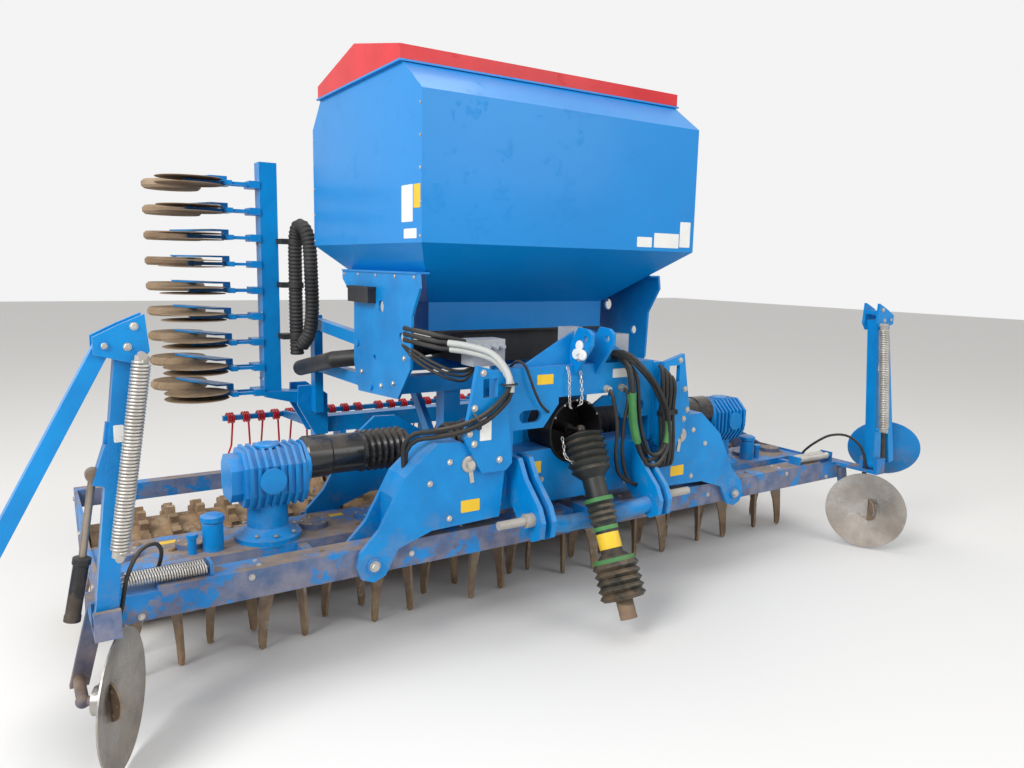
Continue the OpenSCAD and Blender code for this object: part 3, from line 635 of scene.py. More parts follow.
for k, (grow, side_shift, front_shift, diameter) in enumerate(loops, 1):
    route = []
    for i, (x, y, z) in enumerate(loop_route):
        free = 1.0 if FIRST_FREE <= i <= LAST_FREE else 0.0
        size = 1 + (grow - 1) * free
        route.append((LOOP_X + (x - LOOP_X) * size + side_shift, y + front_shift * free,
                      LOOP_Z + (z - LOOP_Z) * size))
    path = hose("parked_loop_%d" % k, route, diameter, count=40)
    if k in sleeves:
        covered, radius = sleeves[k]
        bent_line("green_sleeve_%d" % k, path[covered], radius, "green sleeve", "root")

# %% [markdown]
# Two more hoses plug into couplings on the beam's front and hang down behind the loops.

# %% Port hoses and their couplings
ports = bmesh.new()
for k, (x0, x1) in enumerate(((0.12, 0.15), (0.21, 0.19)), 1):
    turned(ports, [(0, -0.002), (0.018, -0.002), (0.018, 0.010), (0.013, 0.010), (0.013, 0.030),
                   (0, 0.030)], shop(x0, -0.130, 1.050), FRONT, 18)
    hose("port_hose_%d" % k, [
        (x0, -0.126, 1.050), (x0, -0.158, 1.046), (x0 + 0.004, -0.182, 1.005), (x1, -0.186, 0.88),
        (x1, -0.184, 0.74), (x1 + 0.03, -0.18, 0.645), (0.26, -0.178, 0.592), (0.304, -0.175, 0.578)],
        0.018)
piece_from("hose_ports", ports, "bolt steel", "root")

# %% [markdown]
# Four lines run side by side down the beam's right end, held by one clip. They are fixed all the way, so they
# are no free cords. They take the place of the plain bars in the solids.

# %% Lines clipped to the right end of the beam
for k in range(4):
    x = 0.430 + 0.026 * k
    upper, sway = 0.02 * k, 0.006 * (k % 2)
    route = [(x, -0.156, 1.146 - upper), (x, -0.172, 1.128 - upper), (x + 0.004, -0.178, 1.02),
             (x + 0.003, -0.173, 0.915), (x + 0.012 - sway, -0.182, 0.78), (x + 0.012, -0.172, 0.665),
             (x + 0.012, -0.133, 0.640)]
    line = bent_line("clipped_line_%d" % (k + 1), smooth_path([shop(*p) for p in route], 26), 0.011,
                     "black rubber", "root")
    if k == 0:
        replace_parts(line, "hose_set")
clip = bmesh.new()
box_into(clip, (0.421, -0.189, 0.903), (0.531, -0.158, 0.927))
for x in (0.430, 0.522):
    pin(clip, 0.006, 0, 0.005, shop(x, -0.189, 0.915), FRONT, 6)
piece_from("line_clip", clip, "black plastic", "root")

# %% [markdown]
# The plates and stickers of the real machine are left blank: a thin rounded card with a little thickness, so
# that its edge catches the light. A card is drawn in its own plane from its middle, its width and height.

# %% Blank labels
CARD_CORNER, CARD_THICK, CARD_SUNK = 0.004, 0.0012, 0.0004


def blank_label(name, body, finish, middle, across, upward, width, height):
    """A rounded card that lies on a face; across and upward span its plane."""
    across, upward = Vector(across).normalized(), Vector(upward).normalized()
    out = across.cross(upward)
    shape = bmesh.new()
    rim = []
    for cx, cy, start in ((1, 1, 0), (-1, 1, 90), (-1, -1, 180), (1, -1, 270)):
        for step in range(5):
            angle = math.radians(start + step * 22.5)
            rim.append(((width / 2 - CARD_CORNER) * cx + CARD_CORNER * math.cos(angle),
                        (height / 2 - CARD_CORNER) * cy + CARD_CORNER * math.sin(angle)))
    middle = shop(*middle)
    low = [shape.verts.new(middle + across * a + upward * b - out * CARD_SUNK) for a, b in rim]
    top = [shape.verts.new(middle + across * a + upward * b + out * CARD_THICK) for a, b in rim]
    shape.faces.new(low)
    shape.faces.new(top)
    close_band(shape, low, top)
    piece_from(name, shape, finish, body, smooth=False)


front_labels = [
    ("beam_label", "yellow label", (-0.226, -0.130, 1.114), 0.086, 0.044),
    ("cross_label", "yellow label", (-0.232, -0.060, 0.700), 0.088, 0.055),
    ("cross_plate", "grey metal", (-0.215, -0.060, 0.600), 0.062, 0.040),
    ("beam_plate", "white label", (0.215, -0.130, 1.119), 0.115, 0.042),
    ("upright_label", "white label", (-0.545, -0.160, 0.930), 0.055, 0.100),
    ("arm_label", "yellow label", (-0.600, -0.135, 0.600), 0.090, 0.052),
    ("arm_label_right", "yellow label", (0.600, -0.135, 0.600), 0.090, 0.052),
    ("hopper_label_1", "white label", (0.435, 0.0, 1.731), 0.095, 0.048),
    ("hopper_label_2", "white label", (0.580, 0.0, 1.742), 0.165, 0.070),
    ("hopper_label_3", "white label", (0.704, 0.0, 1.775), 0.070, 0.125)]
side_labels = [
    ("side_label_1", "white label", (-0.765, 0.135, 1.850), 0.106, 0.150),
    ("side_label_2", "yellow label", (-0.765, 0.042, 1.876), 0.060, 0.095),
    ("side_label_3", "white label", (-0.765, 0.106, 1.727), 0.120, 0.040)]
for across, labels in ((ACROSS, front_labels), (FRONT, side_labels)):
    for name, finish, middle, width, height in labels:
        blank_label(name, "root", finish, middle, across, UP, width, height)
for side, s in SIDES.items():
    for k, (x, y) in enumerate(((1.70, 0.405), (1.235, 0.41), (0.99, 0.41)), 1):
        blank_label("trough_label_%s_%d" % (side, k), "wing_" + side, "yellow label",
                    (s * x, y, 0.465), ACROSS, (0, 1, 0), 0.062, 0.034)
    blank_label("post_label_" + side, "marker_arm_" + side, "white label",
                (s * 1.9330, -0.350, 1.085), ACROSS, UP, 0.028, 0.052)

# %% [markdown]
# Bolts hold the plates together. A bolt is a washer and a six-sided head with a small bevel on top, and all
# heads of one body are one mesh. The table gives rows of bolts on flat faces: who carries them, which way the
# face looks, where it lies, how big they are and their two coordinates on it. Both sides have the same rows.

# %% Bolts
SIDE_SEAM = (2.235, 2.110, 1.985, 1.850, 1.715)
bolt_rows = [
    ("root", "front", -0.160, 0.015,
     ((0.600, 1.020), (0.622, 0.915), (0.600, 0.870), (0.475, 0.790), (0.560, 1.165))),
    ("root", "front", -0.060, 0.014,
     ((0.322, 0.568), (0.185, 0.640), (0.185, 0.590), (0.410, 0.560), (0.415, 0.720))),
    ("root", "front", -0.135, 0.013, ((0.700, 0.800), (0.790, 0.720), (0.700, 0.560))),
    ("root", "front", -0.145, 0.022, ((1.035, 0.420),)),
    ("root", "side", 0.700, 0.014, ((0.420, 1.050), (0.300, 1.180), (0.560, 1.020), (0.800, 1.060))),
    ("root", "side", 0.700, 0.009, [(y, 1.545) for y in (0.20, 0.40, 0.62, 0.84, 1.03)]),
    ("root", "side", 0.765, 0.007, [(y, z) for y in (0.012, 1.288) for z in SIDE_SEAM]),
    ("root", "side", 0.070, 0.013, ((-0.090, 1.150), (-0.165, 1.200), (-0.085, 1.215))),
    ("wing_", "top", 0.499, 0.010,
     ((1.425, 0.300), (1.398, 0.200), (1.330, 0.170), (1.250, 0.195), (1.218, 0.300), (1.250, 0.405),
      (1.330, 0.440), (1.398, 0.400))),
    ("wing_", "side", 1.985, 0.013,
     ((0.240, 0.395), (0.420, 0.395), (1.040, 0.520), (0.830, 0.420), (0.790, 0.215), (0.840, 0.285),
      (0.770, 0.270))),
    ("wing_", "front", -0.110, 0.012,
     ((2.010, 0.430), (1.870, 0.395), (1.500, 0.460), (0.860, 0.430), (0.160, 0.430))),
    ("wing_", "top", 0.488, 0.011, ((1.466, -0.08), (1.466, -0.03), (0.60, -0.055), (0.30, -0.055))),
    ("marker_arm_", "front", -0.370, 0.012, ((1.880, 1.405), (1.960, 1.350), (1.900, 1.345))),
    ("rail_", "side", 0.930, 0.010,
     [(1.765 + 0.07 * k, z) for k in (0, 1) for z in (0.905, 1.30, 1.70, 2.05)])]
heads_on = {}


def bolts_at(body, places, direction, size):
    """Adds bolts of one size that all face one way."""
    if body not in heads_on:
        heads_on[body] = bmesh.new()
    for place in places:
        bolt(heads_on[body], shop(*place), direction, size)


for side, s in SIDES.items():
    for holder, facing, level, size, spots in bolt_rows:
        body = holder if holder == "root" else holder + side
        if facing == "front":
            bolts_at(body, [(s * x, level, z) for x, z in spots], FRONT, size)
        elif facing == "side":
            bolts_at(body, [(s * level, y, z) for y, z in spots], (s, 0, 0), size)
        else:
            bolts_at(body, [(s * x, y, level) for x, y in spots], UP, size)

# %% [markdown]
# Other bolts stand in a circle: five round each rotor's bearing cap, except the one under the gearbox, and
# five over the shaft guard. Their places come from the circle's radius and the angle of each.

# %% Bolts in circles
CAP_CIRCLE, CAP_TOP, ROTOR_Y = 0.048, 0.487, 0.320
ROTOR_PITCH, ROTORS, UNDER_GEARBOX = 0.25, 8, 5
for side, s in SIDES.items():
    for rotor_x in [ROTOR_PITCH / 2 + ROTOR_PITCH * k for k in range(ROTORS) if k != UNDER_GEARBOX]:
        angles = [math.radians(d) for d in (20, 92, 164, 236, 308)]
        bolts_at("wing_" + side, [(s * rotor_x + CAP_CIRCLE * math.cos(a),
                                   ROTOR_Y + CAP_CIRCLE * math.sin(a), CAP_TOP) for a in angles],
                 UP, 0.0065)
angles = [math.radians(d) for d in (30, 60, 90, 120, 150)]
bolts_at("root", [(0.14 * math.cos(a), -0.070, 0.850 + 0.145 * math.sin(a)) for a in angles],
         FRONT, 0.005)
for body, heads in heads_on.items():
    piece_from("bolts_" + body, heads, "bolt steel", body)

# %% [markdown]
# The red coil tines of the rear harrow are spring wire: three turns round the bar, a straight leg and a short
# toe. The harrow is lifted here, so the toes hang clear of the floor. The wire is one line swept with a round
# section, as the real one is bent from one rod.

# %% Rear harrow tines
TINE_WIRE, COIL_RADIUS, COIL_PITCH, TURN_STEPS, COIL_TURNS = 0.0065, 0.032, 0.016, 14, 3
BAR_Y, BAR_Z = 2.420, 0.560
TINES_A_SIDE, TINE_SPACING, TINE_LEAN = 10, 0.1, 0.012


def coil_tine(x, lean):
    """The path of one spring tine: coil, leg and toe."""
    path = []
    for k in range(COIL_TURNS * TURN_STEPS + 1):
        turn = k / TURN_STEPS * math.tau
        path.append(shop(x + COIL_PITCH * k / TURN_STEPS, BAR_Y + COIL_RADIUS * math.cos(turn),
                         BAR_Z + COIL_RADIUS * math.sin(turn)))
    end = x + COIL_TURNS * COIL_PITCH
    for share in (0.3, 0.6, 1.0):
        path.append(shop(end + lean * share, 2.452 + 0.02 * share, BAR_Z - 0.200 * share))
    path.append(shop(end + lean - 0.02, 2.492, 0.290))
    return path


tine_places = [0.08 + TINE_SPACING * k for k in range(TINES_A_SIDE)]
for k, x in enumerate([-x for x in tine_places] + tine_places):
    bent_line("harrow_tine_%d" % (k + 1), coil_tine(x - 0.024, TINE_LEAN * (-1) ** k), TINE_WIRE,
              "red paint", "root")
tine_bar = bmesh.new()
box_into(tine_bar, (-1.03, 2.404, 0.544), (1.03, 2.436, 0.576))
for s in SIDES.values():
    slab(tine_bar, [(1.80, 0.625), (1.80, 0.575), (2.395, 0.540), (2.432, 0.540), (2.432, 0.578),
                    (1.87, 0.640)], "yz", s * 0.62 - 0.012, 0.024)
piece_from("tine_bar", tine_bar, "frame paint", "root")

# %% [markdown]
# The shaft guard hangs from short chains. A link is a bent ring, and each next link is turned a quarter round
# the chain's line, so the links read as a real chain from any side.

# %% Chains
LINK_PITCH, LINK_WIRE, LINK_STEPS, WIRE_STEPS = 0.016, 0.0021, 14, 5
LONG_HALF, WIDE_HALF = LINK_PITCH * 0.66, LINK_PITCH * 0.36


def chain(name, via, body):
    """Chain links strung along a soft curve."""
    path = smooth_path([shop(*p) for p in via], 160)
    links = smooth_path(path[::8] + [path[-1]], max(3, int(route_length(path) / LINK_PITCH)))
    shape = bmesh.new()
    for k, (a, b) in enumerate(zip(links, links[1:])):
        quarter = Matrix.Rotation(math.pi / 2 * (k % 2), 4, "Z")
        stand = Matrix.Translation((a + b) / 2) @ frame_along(b - a) @ quarter
        ring = []
        for step in range(LINK_STEPS):
            angle = math.tau * step / LINK_STEPS
            mid = Vector((WIDE_HALF * math.sin(angle), 0, LONG_HALF * math.cos(angle)))
            out = Vector((math.sin(angle), 0, math.cos(angle)))
            around = [math.tau * j / WIRE_STEPS for j in range(WIRE_STEPS)]
            ring.append([shape.verts.new(stand @ (mid + LINK_WIRE * (
                out * math.cos(c) + Vector((0, 1, 0)) * math.sin(c)))) for c in around])
        for here, there in zip(ring, ring[1:] + ring[:1]):
            close_band(shape, here, there)
    piece_from(name, shape, "bolt steel", body)


chain("guard_chain_1", [(-0.112, -0.134, 1.165), (-0.110, -0.150, 1.13), (-0.108, -0.152, 1.05),
                        (-0.10, -0.150, 0.985), (-0.085, -0.140, 0.975)], "root")
chain("guard_chain_2", [(-0.035, -0.134, 1.140), (-0.045, -0.160, 1.06), (-0.050, -0.165, 1.00),
                        (-0.058, -0.150, 0.985)], "root")
chain("guard_chain_3", [(-0.106, -0.105, 0.838), (-0.110, -0.125, 0.800), (-0.112, -0.140, 0.760),
                        (-0.095, -0.165, 0.735), (-0.070, -0.185, 0.722)], "pto_shaft")

# %% [markdown]
# The marker's fold cylinder stands beside its arm: a black barrel, a rusty rod and an eye at the top. It
# rides on the arm, because its rod is pinned there, and its lower eye is left out. A hose at its foot feeds
# it from the wing.

# %% Marker fold cylinders and their hoses
for side, s in SIDES.items():
    arm = "marker_arm_" + side
    top, neck, foot = [shop(s * x, -0.322, z) for x, z in ((2.006, 0.962), (2.046, 0.715),
                                                           (2.084, 0.520))]
    rod = bmesh.new()
    pin(rod, 0.011, 0, (neck - top).length, top, neck - top, 14)
    pin(rod, 0.021, -0.016, 0.016, top, (0, 1, 0), 20)
    piece_from("marker_rod_" + side, rod, "worn iron", arm)
    barrel = bmesh.new()
    long = (foot - neck).length
    turned(barrel, [(0, 0), (0.018, 0), (0.026, 0.004), (0.026, 0.022), (0.022, 0.026),
                    (0.022, long - 0.02), (0.024, long - 0.016), (0.024, long), (0, long)],
           neck, foot - neck)
    piece_from("marker_barrel_" + side, barrel, "black plastic", arm)
    hose("marker_hose_" + side, [(s * x, y, z) for x, y, z in (
        (1.990, -0.270, 0.440), (1.972, -0.300, 0.450), (1.948, -0.305, 0.520),
        (1.925, -0.280, 0.610), (1.880, -0.220, 0.665), (1.825, -0.150, 0.660),
        (1.795, -0.080, 0.610), (1.790, -0.010, 0.545), (1.800, 0.030, 0.487))], 0.014,
        body="wing_" + side)
print("hose lengths in metres:", hose_lengths)

# %% [markdown]
# The wing gearbox is a cast housing on a round neck. Cooling ribs stand on its front and back, and a smooth
# black guard comes out of its inner side and ends in a bellows. It takes the place of the plain solid.

# %% Wing gearboxes
GEAR_OUT, GEAR_IN, GUARD_Y, GUARD_Z = -1.490, -1.190, 0.260, 0.790
RIBS, RIB_PITCH, RIB_THICK = 8, 0.030, 0.012
FOLDS, FOLD_PITCH = 7, 0.029


def housing(shape):
    """Body, ribs, neck, flange and caps of one gearbox."""
    section = [(0.166, 0.672), (0.204, 0.624), (0.354, 0.624), (0.392, 0.672), (0.392, 0.790),
               (0.336, 0.846), (0.222, 0.846), (0.166, 0.790)]
    end = [(0.29 + (y - 0.28) * 0.8, 0.735 + (z - 0.735) * 0.8) for y, z in section]
    rib = [(0.152, 0.680), (0.196, 0.616), (0.362, 0.616), (0.406, 0.680), (0.406, 0.796),
           (0.342, 0.856), (0.216, 0.856), (0.152, 0.796)]
    slab(shape, section, "yz", GEAR_OUT + 0.045, GEAR_IN - GEAR_OUT - 0.045)
    slab(shape, end, "yz", GEAR_OUT, 0.05)
    for k in range(RIBS):
        slab(shape, rib, "yz", GEAR_OUT + 0.062 + k * RIB_PITCH, RIB_THICK)
    turned(shape, [(0, 0.46), (0.135, 0.46), (0.135, 0.484), (0.108, 0.496), (0.084, 0.520),
                   (0.080, 0.630), (0, 0.630)], shop(-1.330, 0.285, 0), UP, 36)
    turned(shape, [(0, 0), (0.048, 0), (0.048, 0.008), (0.040, 0.014), (0, 0.014)],
           shop(-1.330, 0.275, 0.852), UP, 30)
    turned(shape, [(0, 0), (0.052, 0), (0.052, 0.012), (0, 0.016)], shop(-1.340, 0.154, 0.735),
           FRONT, 30)
    turned(shape, [(0, 0), (0.096, 0), (0.096, 0.020), (0.088, 0.026), (0, 0.026)],
           shop(GEAR_IN - 0.010, GUARD_Y, GUARD_Z - 0.020), ACROSS, 36)


def guard(shape):
    """The smooth tube with its collar, and the bellows behind it."""
    profile = [(0, 0.002), (0.084, 0.002), (0.090, 0.010), (0.090, 0.105), (0.084, 0.112),
               (0.084, 0.246), (0.090, 0.250)]
    for k in range(FOLDS):
        profile += [(0.092, 0.262 + k * FOLD_PITCH), (0.076, 0.276 + k * FOLD_PITCH)]
    profile += [(0.080, 0.466), (0, 0.466)]
    turned(shape, profile, shop(GEAR_IN, GUARD_Y, GUARD_Z), ACROSS, 40)


def pot(shape):
    """Oil pot and level stem beside the gearbox."""
    turned(shape, [(0, 0.46), (0.040, 0.46), (0.040, 0.575), (0.030, 0.585), (0.046, 0.585),
                   (0.046, 0.604), (0.030, 0.612), (0, 0.612)], shop(-1.560, 0.235, 0), UP, 28)
    turned(shape, [(0, 0.46), (0.016, 0.46), (0.016, 0.530), (0.022, 0.530), (0.022, 0.545),
                   (0, 0.545)], shop(-1.640, 0.225, 0), UP, 20)


on_both_sides("gearbox", housing, "frame paint", replaced="wing_gearbox_")
on_both_sides("gearbox_guard", guard, "shiny black")
on_both_sides("oil_pot", pot, "frame paint")

# %% [markdown]
# Each rotor carries two broad blades. A blade starts wide under its clamp, sweeps back and ends in a worn
# toe. Neighbours turn against each other, so their blades sweep opposite ways. The second blade is built
# like the first and then turned half round.

# %% Rotors with curved blades
BLADE = [(-0.5, 0.300), (0.5, 0.300), (0.52, 0.240), (0.6, 0.140), (0.66, 0.040), (0.6, 0.008),
         (0.5, 0.0), (0.3, 0.008), (0.2, 0.080), (0.02, 0.160), (-0.24, 0.225), (-0.5, 0.262)]
BLADE_WIDTH, BLADE_AT, BLADE_THICK = 0.084, 0.094, 0.015
EVEN_TURN, ODD_TURN = math.radians(20), math.radians(110)
hub_middle = shop(0, 0, 0)


def turn_about_hub(shape, angle, verts):
    """Turns corners about the rotor's own upright axis."""
    bmesh.ops.rotate(shape, cent=hub_middle, matrix=Matrix.Rotation(angle, 3, "Z"), verts=verts)


for side, s in SIDES.items():
    for k in range(ROTORS):
        hub = bmesh.new()
        way = 1 if k % 2 == 0 else -1
        turned(hub, [(0, 0.291), (0.058, 0.291), (0.066, 0.296), (0.066, 0.318), (0.058, 0.321),
                     (0, 0.321)], hub_middle, UP, 36)
        turned(hub, [(0.020, 0.315), (0.020, 0.337)], hub_middle, UP, 24)
        for second in (False, True):
            before = set(hub.verts)
            box_into(hub, (0.030, -0.034, 0.276), (0.086, 0.034, 0.318))
            slab(hub, [(b * BLADE_WIDTH * way, z) for b, z in BLADE], "yz", BLADE_AT - BLADE_THICK,
                 BLADE_THICK)
            for y in (-0.018, 0.018):
                pin(hub, 0.011, -0.02, 0.012, shop(BLADE_AT, y, 0.284), ACROSS, 6)
            if second:
                turn_about_hub(hub, math.pi, [v for v in hub.verts if v not in before])
        turn_about_hub(hub, EVEN_TURN if way > 0 else ODD_TURN, hub.verts)
        from_middle = -ROTOR_PITCH / 2 - ROTOR_PITCH * k
        bmesh.ops.translate(hub, vec=(from_middle, ROTOR_Y, 0), verts=hub.verts)
        if s > 0:
            mirror(hub)
        name = "rotor_%s_%d" % (side, k + 1)
        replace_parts(piece_from(name + "_blades", hub, "worn iron", name), name)

# %% [markdown]
# The packer roller is a tube with toothed rings. The teeth stand out against the light on every ring, so
# they are real here. A bump would leave the roller's outline round.

# %% Toothed packer rollers
ROLLER_IN, ROLLER_OUT, ROLLER_Y, ROLLER_Z = -0.064, -1.953, 0.810, 0.250
RINGS, TEETH, RING_WIDTH, END_GAP = 15, 20, 0.034, 0.02
ROOT_RADIUS, TIP_RADIUS = 0.220, 0.250
STUB, STUB_LONG, TUBE = 0.025, 0.031, 0.200


def toothed_roller(shape):
    """Tube, stub axles and toothed rings; each next ring is turned by a quarter of a tooth."""
    long = ROLLER_IN - ROLLER_OUT
    turned(shape, [(0, -STUB_LONG), (STUB, -STUB_LONG), (STUB, 0), (TUBE, 0), (TUBE, long),
                   (STUB, long), (STUB, long + STUB_LONG), (0, long + STUB_LONG)],
           shop(ROLLER_IN, ROLLER_Y, ROLLER_Z), (-1, 0, 0), 40)
    pitch = (long - 2 * END_GAP) / RINGS
    for k in range(RINGS):
        at = ROLLER_IN - END_GAP - (k + 0.5) * pitch
        ring = []
        for tooth in range(TEETH):
            for share, radius in ((0, ROOT_RADIUS), (0.12, TIP_RADIUS), (0.42, TIP_RADIUS),
                                  (0.54, ROOT_RADIUS)):
                angle = math.tau * (tooth + share + 0.25 * (k % 2)) / TEETH
                ring.append((ROLLER_Y + radius * math.cos(angle), ROLLER_Z + radius * math.sin(angle)))
        slab(shape, ring, "yz", at - RING_WIDTH / 2, RING_WIDTH)


on_both_sides("roller_teeth", toothed_roller, "caked iron", body="roller_", replaced="roller_")

# %% [markdown]
# Corrugated hoses stand beside each folded rail. They come up from the air pipe, turn over at the top and go
# down again. The ribs are rings of two sizes along the path, because a bump leaves the outline smooth.

# %% Corrugated seed hoses
HOSE_RADIUS, VALLEY, RIB_STEP, HOSE_SIDES = 0.041, 0.88, 0.022, 20


def ribbed(shape, via):
    """A corrugated tube along a soft curve."""
    path = smooth_path([shop(*p) for p in via], max(8, int(route_length(via) * 1.04 / RIB_STEP) * 2))
    rings = []
    side = Vector(ACROSS)
    for k, place in enumerate(path):
        ahead = path[min(k + 1, len(path) - 1)] - path[max(k - 1, 0)]
        ahead.normalize()
        side = (side - ahead * side.dot(ahead)).normalized()
        other = ahead.cross(side)
        size = HOSE_RADIUS if k % 2 else HOSE_RADIUS * VALLEY
        angles = [math.tau * j / HOSE_SIDES for j in range(HOSE_SIDES)]
        rings.append([shape.verts.new(place + size * (math.cos(a) * side + math.sin(a) * other))
                      for a in angles])
    for lower, upper in zip(rings, rings[1:]):
        close_band(shape, lower, upper)
    shape.faces.new(rings[0])
    shape.faces.new(rings[-1])


def rail_hoses(shape):
    """Two upright runs joined by a bend, and their clamps on the rail."""
    ribbed(shape, [
        (-0.762, 1.650, 1.060), (-0.764, 1.650, 1.25), (-0.764, 1.648, 1.50), (-0.764, 1.640, 1.72),
        (-0.756, 1.604, 1.80), (-0.736, 1.555, 1.785), (-0.720, 1.525, 1.70), (-0.714, 1.518, 1.50),
        (-0.712, 1.520, 1.32), (-0.724, 1.540, 1.19), (-0.750, 1.590, 1.12)])
    for z in (1.150, 1.450, 1.700):
        box_into(shape, (-0.845, 1.640, z), (-0.755, 1.752, z + 0.030))
        sleeve(shape, 0.0425, 0.046, 0, 0.03, shop(-0.764, 1.648, z), UP, 28)


on_both_sides("rail_hoses", rail_hoses, "black rubber", body="rail_", replaced="seed_hoses_")

# %% [markdown]
# Coil springs keep the side plates down on the wing and balance the marker arms. A spring is one wire wound
# round its line, with a straight hook at each end.

# %% Springs
SPRING_STEPS, HOOK_LONG = 14, 0.018


def spring(name, start, end, radius, wire, turns, body):
    """A close-wound spring between two shop points."""
    a, b = shop(*start), shop(*end)
    stand = frame_along(b - a).to_3x3()
    length = (b - a).length
    path = [a]
    steps = turns * SPRING_STEPS
    for k in range(steps + 1):
        angle = math.tau * k / SPRING_STEPS
        path.append(a + stand @ Vector((radius * math.cos(angle), radius * math.sin(angle),
                                        HOOK_LONG + (length - 2 * HOOK_LONG) * k / steps)))
    path.append(b)
    bent_line(name, path, wire, "bolt steel", body)


def spring_lugs(shape):
    """Lugs that hold the two wing springs on the bar."""
    for x in (-1.932, -1.634):
        box_into(shape, (x - 0.006, -0.095, 0.470), (x + 0.006, -0.019, 0.534))


def marker_latch(shape):
    """The block that catches the outer arm when it is folded up."""
    slab(shape, [(-2.010, 0.935), (-1.975, 0.925), (-1.925, 0.935), (-1.915, 1.045),
                 (-1.970, 1.055)], "xz", -0.348, 0.060)
    slab(shape, [(-1.975, 1.055), (-1.945, 1.055), (-1.940, 1.110), (-1.965, 1.120)], "xz", -0.336,
         0.020)


for side, s in SIDES.items():
    for k, y in enumerate((-0.078, -0.036), 1):
        spring("wing_spring_%s_%d" % (side, k), (s * 1.925, y, 0.514), (s * 1.630, y, 0.514), 0.0165,
               0.0032, 30, "wing_" + side)
    spring("marker_spring_" + side, (s * 1.865, -0.395, 1.320), (s * 1.955, -0.395, 0.720), 0.0235,
           0.0042, 56, "marker_arm_" + side)
on_both_sides("spring_lugs", spring_lugs, "frame paint")
on_both_sides("marker_latch", marker_latch, "frame paint", body="marker_arm_")

# %% [markdown]
# Dry clods lie on the trough and the bar where the rotors threw them. A clod is a small lump with a rough
# skin, half sunk into the face that it lies on. The seed set at the start gives the same clods every time.

# %% Soil clods
TROUGH_TOP, BAR_TOP, FLATTENED = 0.466, 0.489, 0.6
clod_spots = [
    (1.70, 0.30, TROUGH_TOP, 0.016), (1.52, 0.42, TROUGH_TOP, 0.020), (1.60, 0.36, TROUGH_TOP, 0.012),
    (1.10, 0.44, TROUGH_TOP, 0.018), (0.95, 0.24, TROUGH_TOP, 0.015), (0.66, 0.40, TROUGH_TOP, 0.014),
    (1.81, 0.43, TROUGH_TOP, 0.017), (1.90, 0.25, TROUGH_TOP, 0.012), (1.44, 0.47, TROUGH_TOP, 0.013),
    (0.45, 0.30, TROUGH_TOP, 0.012), (1.22, -0.05, BAR_TOP, 0.010), (0.82, -0.07, BAR_TOP, 0.008)]
for side, s in SIDES.items():
    clods = bmesh.new()
    for x, y, z, size in clod_spots:
        lump = bmesh.ops.create_icosphere(clods, subdivisions=2, radius=size)["verts"]
        for vert in lump:
            vert.co *= random.uniform(0.75, 1.15)
            vert.co.z *= FLATTENED
            vert.co += shop(s * x, y, z)
    piece_from("clods_" + side, clods, "dry clod", "wing_" + side)

# %% [markdown]
# Small fittings finish the hopper and the arms: a dark box on the outer face of the hopper's stand, a keeper
# disc on each arm's locking pin, and the pale seal that the lid sits on. The seal is four thin bars.

# %% Stand boxes, pin tabs and the lid's seal


def stand_box(shape):
    """The box on the outer face of the stand, with its lid line."""
    box_into(shape, (-0.742, 0.620, 1.412), (-0.698, 0.880, 1.478))
    box_into(shape, (-0.746, 0.614, 1.478), (-0.698, 0.886, 1.490))


def pin_tab(shape):
    """The keeper disc of the arm's locking pin, with its tab."""
    turned(shape, [(0, 0), (0.036, 0), (0.036, 0.010), (0.030, 0.013), (0.018, 0.013),
                   (0.018, 0.024), (0, 0.024)], shop(-0.609, -0.134, 0.782), FRONT, 30)
    slab(shape, [(-0.615, 0.760), (-0.594, 0.757), (-0.586, 0.702), (-0.604, 0.698)], "xz", -0.142,
         0.008)


on_both_sides("stand_box", stand_box, "black plastic", body="root")
on_both_sides("pin_tab", pin_tab, "bolt steel", body="root")
SEAL_LOW, SEAL_TOP = 2.4225, 2.4295
SEAL_X, SEAL_FRONT, SEAL_BACK, SEAL_WIDE = 0.772, 0.183, 1.172, 0.006
seal = bmesh.new()
for (x0, x1), (y0, y1) in (
        ((-SEAL_X, SEAL_X), (SEAL_FRONT, SEAL_FRONT + SEAL_WIDE)),
        ((-SEAL_X, SEAL_X), (SEAL_BACK - SEAL_WIDE, SEAL_BACK)),
        ((-SEAL_X, SEAL_WIDE - SEAL_X), (SEAL_FRONT, SEAL_BACK)),
        ((SEAL_X - SEAL_WIDE, SEAL_X), (SEAL_FRONT, SEAL_BACK))):
    box_into(seal, (x0, y0, SEAL_LOW), (x1, y1, SEAL_TOP))
piece_from("lid_seal", seal, "pale sleeve", "root")

# %% [markdown]
# The catch of the top link is a knob with three lobes. The drive shaft's guard carries three green collars
# and one blank yellow band. They ride on the shaft, so that they swing with it.

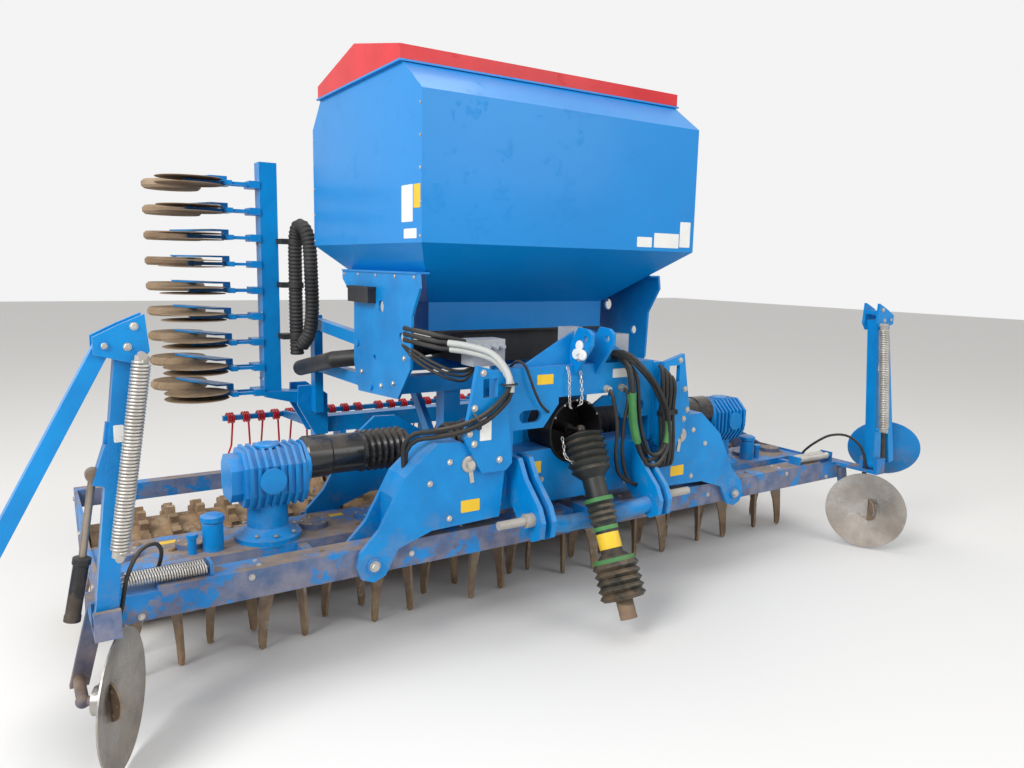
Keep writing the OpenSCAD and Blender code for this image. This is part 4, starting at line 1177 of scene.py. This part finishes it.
# %% Link catch and shaft collars
CATCH_X, CATCH_Y, CATCH_Z, LOBE_OUT = -0.071, -0.175, 1.235, 0.026
catch = bmesh.new()
for lobe in range(3):
    angle = math.radians(90 + 120 * lobe)
    turned(catch, [(0, 0), (0.022, 0), (0.024, 0.004), (0.024, 0.010), (0.020, 0.014), (0, 0.014)],
           shop(CATCH_X, CATCH_Y + LOBE_OUT * math.cos(angle), CATCH_Z + LOBE_OUT * math.sin(angle)),
           (-1, 0, 0), 20)
pin(catch, 0.014, 0, 0.026, shop(CATCH_X, CATCH_Y, CATCH_Z), (-1, 0, 0), 16)
piece_from("link_catch", catch, "white label", "root")
shaft_top, shaft_end = shop(0, -0.106, 0.862), shop(0, -0.490, 0.095)
shaft_way = (shaft_end - shaft_top).normalized()
collars = bmesh.new()
for at, radius in ((0.330, 0.067), (0.458, 0.056), (0.600, 0.0935)):
    sleeve(collars, radius - 0.012, radius, -0.009, 0.009, shaft_top + shaft_way * at, shaft_way, 32)
piece_from("shaft_collars", collars, "green sleeve", "pto_shaft")
band = bmesh.new()
sleeve(band, 0.0502, 0.0512, 0, 0.07, shaft_top + shaft_way * 0.480, shaft_way, 32)
piece_from("shaft_label", band, "yellow label", "pto_shaft")

# %% [markdown]
# Each boundary disc turns on a hub plate with six bolts. The plate faces the way the disc does, so its bolts
# are laid out in the disc's own plane.

# %% Hubs of the boundary discs
HUB_PLATE, HUB_CIRCLE, HUB_BOLTS = 0.066, 0.045, 6
for side, s in SIDES.items():
    middle = shop(s * 1.990, -0.310, 0.230)
    facing = (s * 0.91, -0.41, 0)
    across_hub = Vector((0.41, s * 0.91, 0)).normalized()
    plate = bmesh.new()
    pin(plate, HUB_PLATE, 0.003, 0.011, middle, facing, 36)
    for k in range(HUB_BOLTS):
        angle = math.tau * k / HUB_BOLTS
        spot = middle + HUB_CIRCLE * (math.cos(angle) * across_hub + math.sin(angle) * Vector(UP))
        pin(plate, 0.008, 0.010, 0.015, spot, facing, 6)
    piece_from("boundary_hub_" + side, plate, "worn iron", "boundary_disc_" + side)

# %% [markdown]
# A pale floor and a pale backdrop keep the machine's colours apart from their surroundings. The backdrop's
# brightness is set for the camera and for reflections only, so it adds no light to the paint.

# %% Floor and backdrop
FLOOR_HALF = 30
corners = [(x * FLOOR_HALF, y * FLOOR_HALF, FLOOR_Z) for x, y in ((-1, -1), (1, -1), (1, 1), (-1, 1))]
floor_mesh = bpy.data.meshes.new("floor")
floor_mesh.from_pydata(corners, [], [(0, 1, 2, 3)])
floor = bpy.data.objects.new("floor", floor_mesh)
bpy.context.scene.collection.objects.link(floor)
pale = bpy.data.materials.new("pale floor")
pale.use_nodes = True
pale.node_tree.nodes["Principled BSDF"].inputs["Base Color"].default_value = (0.72, 0.71, 0.69, 1)
pale.node_tree.nodes["Principled BSDF"].inputs["Roughness"].default_value = 0.9
floor_mesh.materials.append(pale)

WORLD_LIGHT, BACKDROP = 0.70, 0.9
world = bpy.data.worlds.new("studio")
bpy.context.scene.world = world
world.use_nodes = True
sky = world.node_tree
backing = sky.nodes["Background"]
backing.inputs["Color"].default_value = (1, 1, 1, 1)
rays = sky.nodes.new("ShaderNodeLightPath")
seen = sky.nodes.new("ShaderNodeMath")
seen.operation = "MAXIMUM"
sky.links.new(rays.outputs["Is Camera Ray"], seen.inputs[0])
sky.links.new(rays.outputs["Is Glossy Ray"], seen.inputs[1])
strength = sky.nodes.new("ShaderNodeMapRange")
strength.inputs["To Min"].default_value = WORLD_LIGHT
strength.inputs["To Max"].default_value = BACKDROP
sky.links.new(seen.outputs[0], strength.inputs["Value"])
sky.links.new(strength.outputs["Result"], backing.inputs["Strength"])
print("floor at", FLOOR_Z, "m, backdrop at", BACKDROP)

# %% [markdown]
# Three large soft lamps light the machine: the key from the front left, a weaker fill and one from above.
# Large lamps give soft shadows, where small ones would draw hard lines. The Standard view shows each colour
# as it is written.

# %% Lamps


def soft_lamp(name, place, target, width, power):
    """A square lamp that faces a point."""
    data = bpy.data.lights.new(name, "AREA")
    data.size = width
    data.energy = power
    lamp = bpy.data.objects.new(name, data)
    lamp.location = place
    lamp.rotation_euler = (Vector(target) - Vector(place)).to_track_quat("-Z", "Y").to_euler()
    bpy.context.scene.collection.objects.link(lamp)
    print(name, power, "W")


soft_lamp("key lamp", (-6.8, -2.2, 4.6), (0, 0.8, 0.8), 3.6, 520)
soft_lamp("fill lamp", (3.5, -6.5, 4.0), (0, 0.8, 0.4), 4.0, 150)
soft_lamp("top lamp", (0, 1.5, 6.5), (0, 1.0, 0), 5.0, 160)
bpy.context.scene.view_settings.view_transform = "Standard"
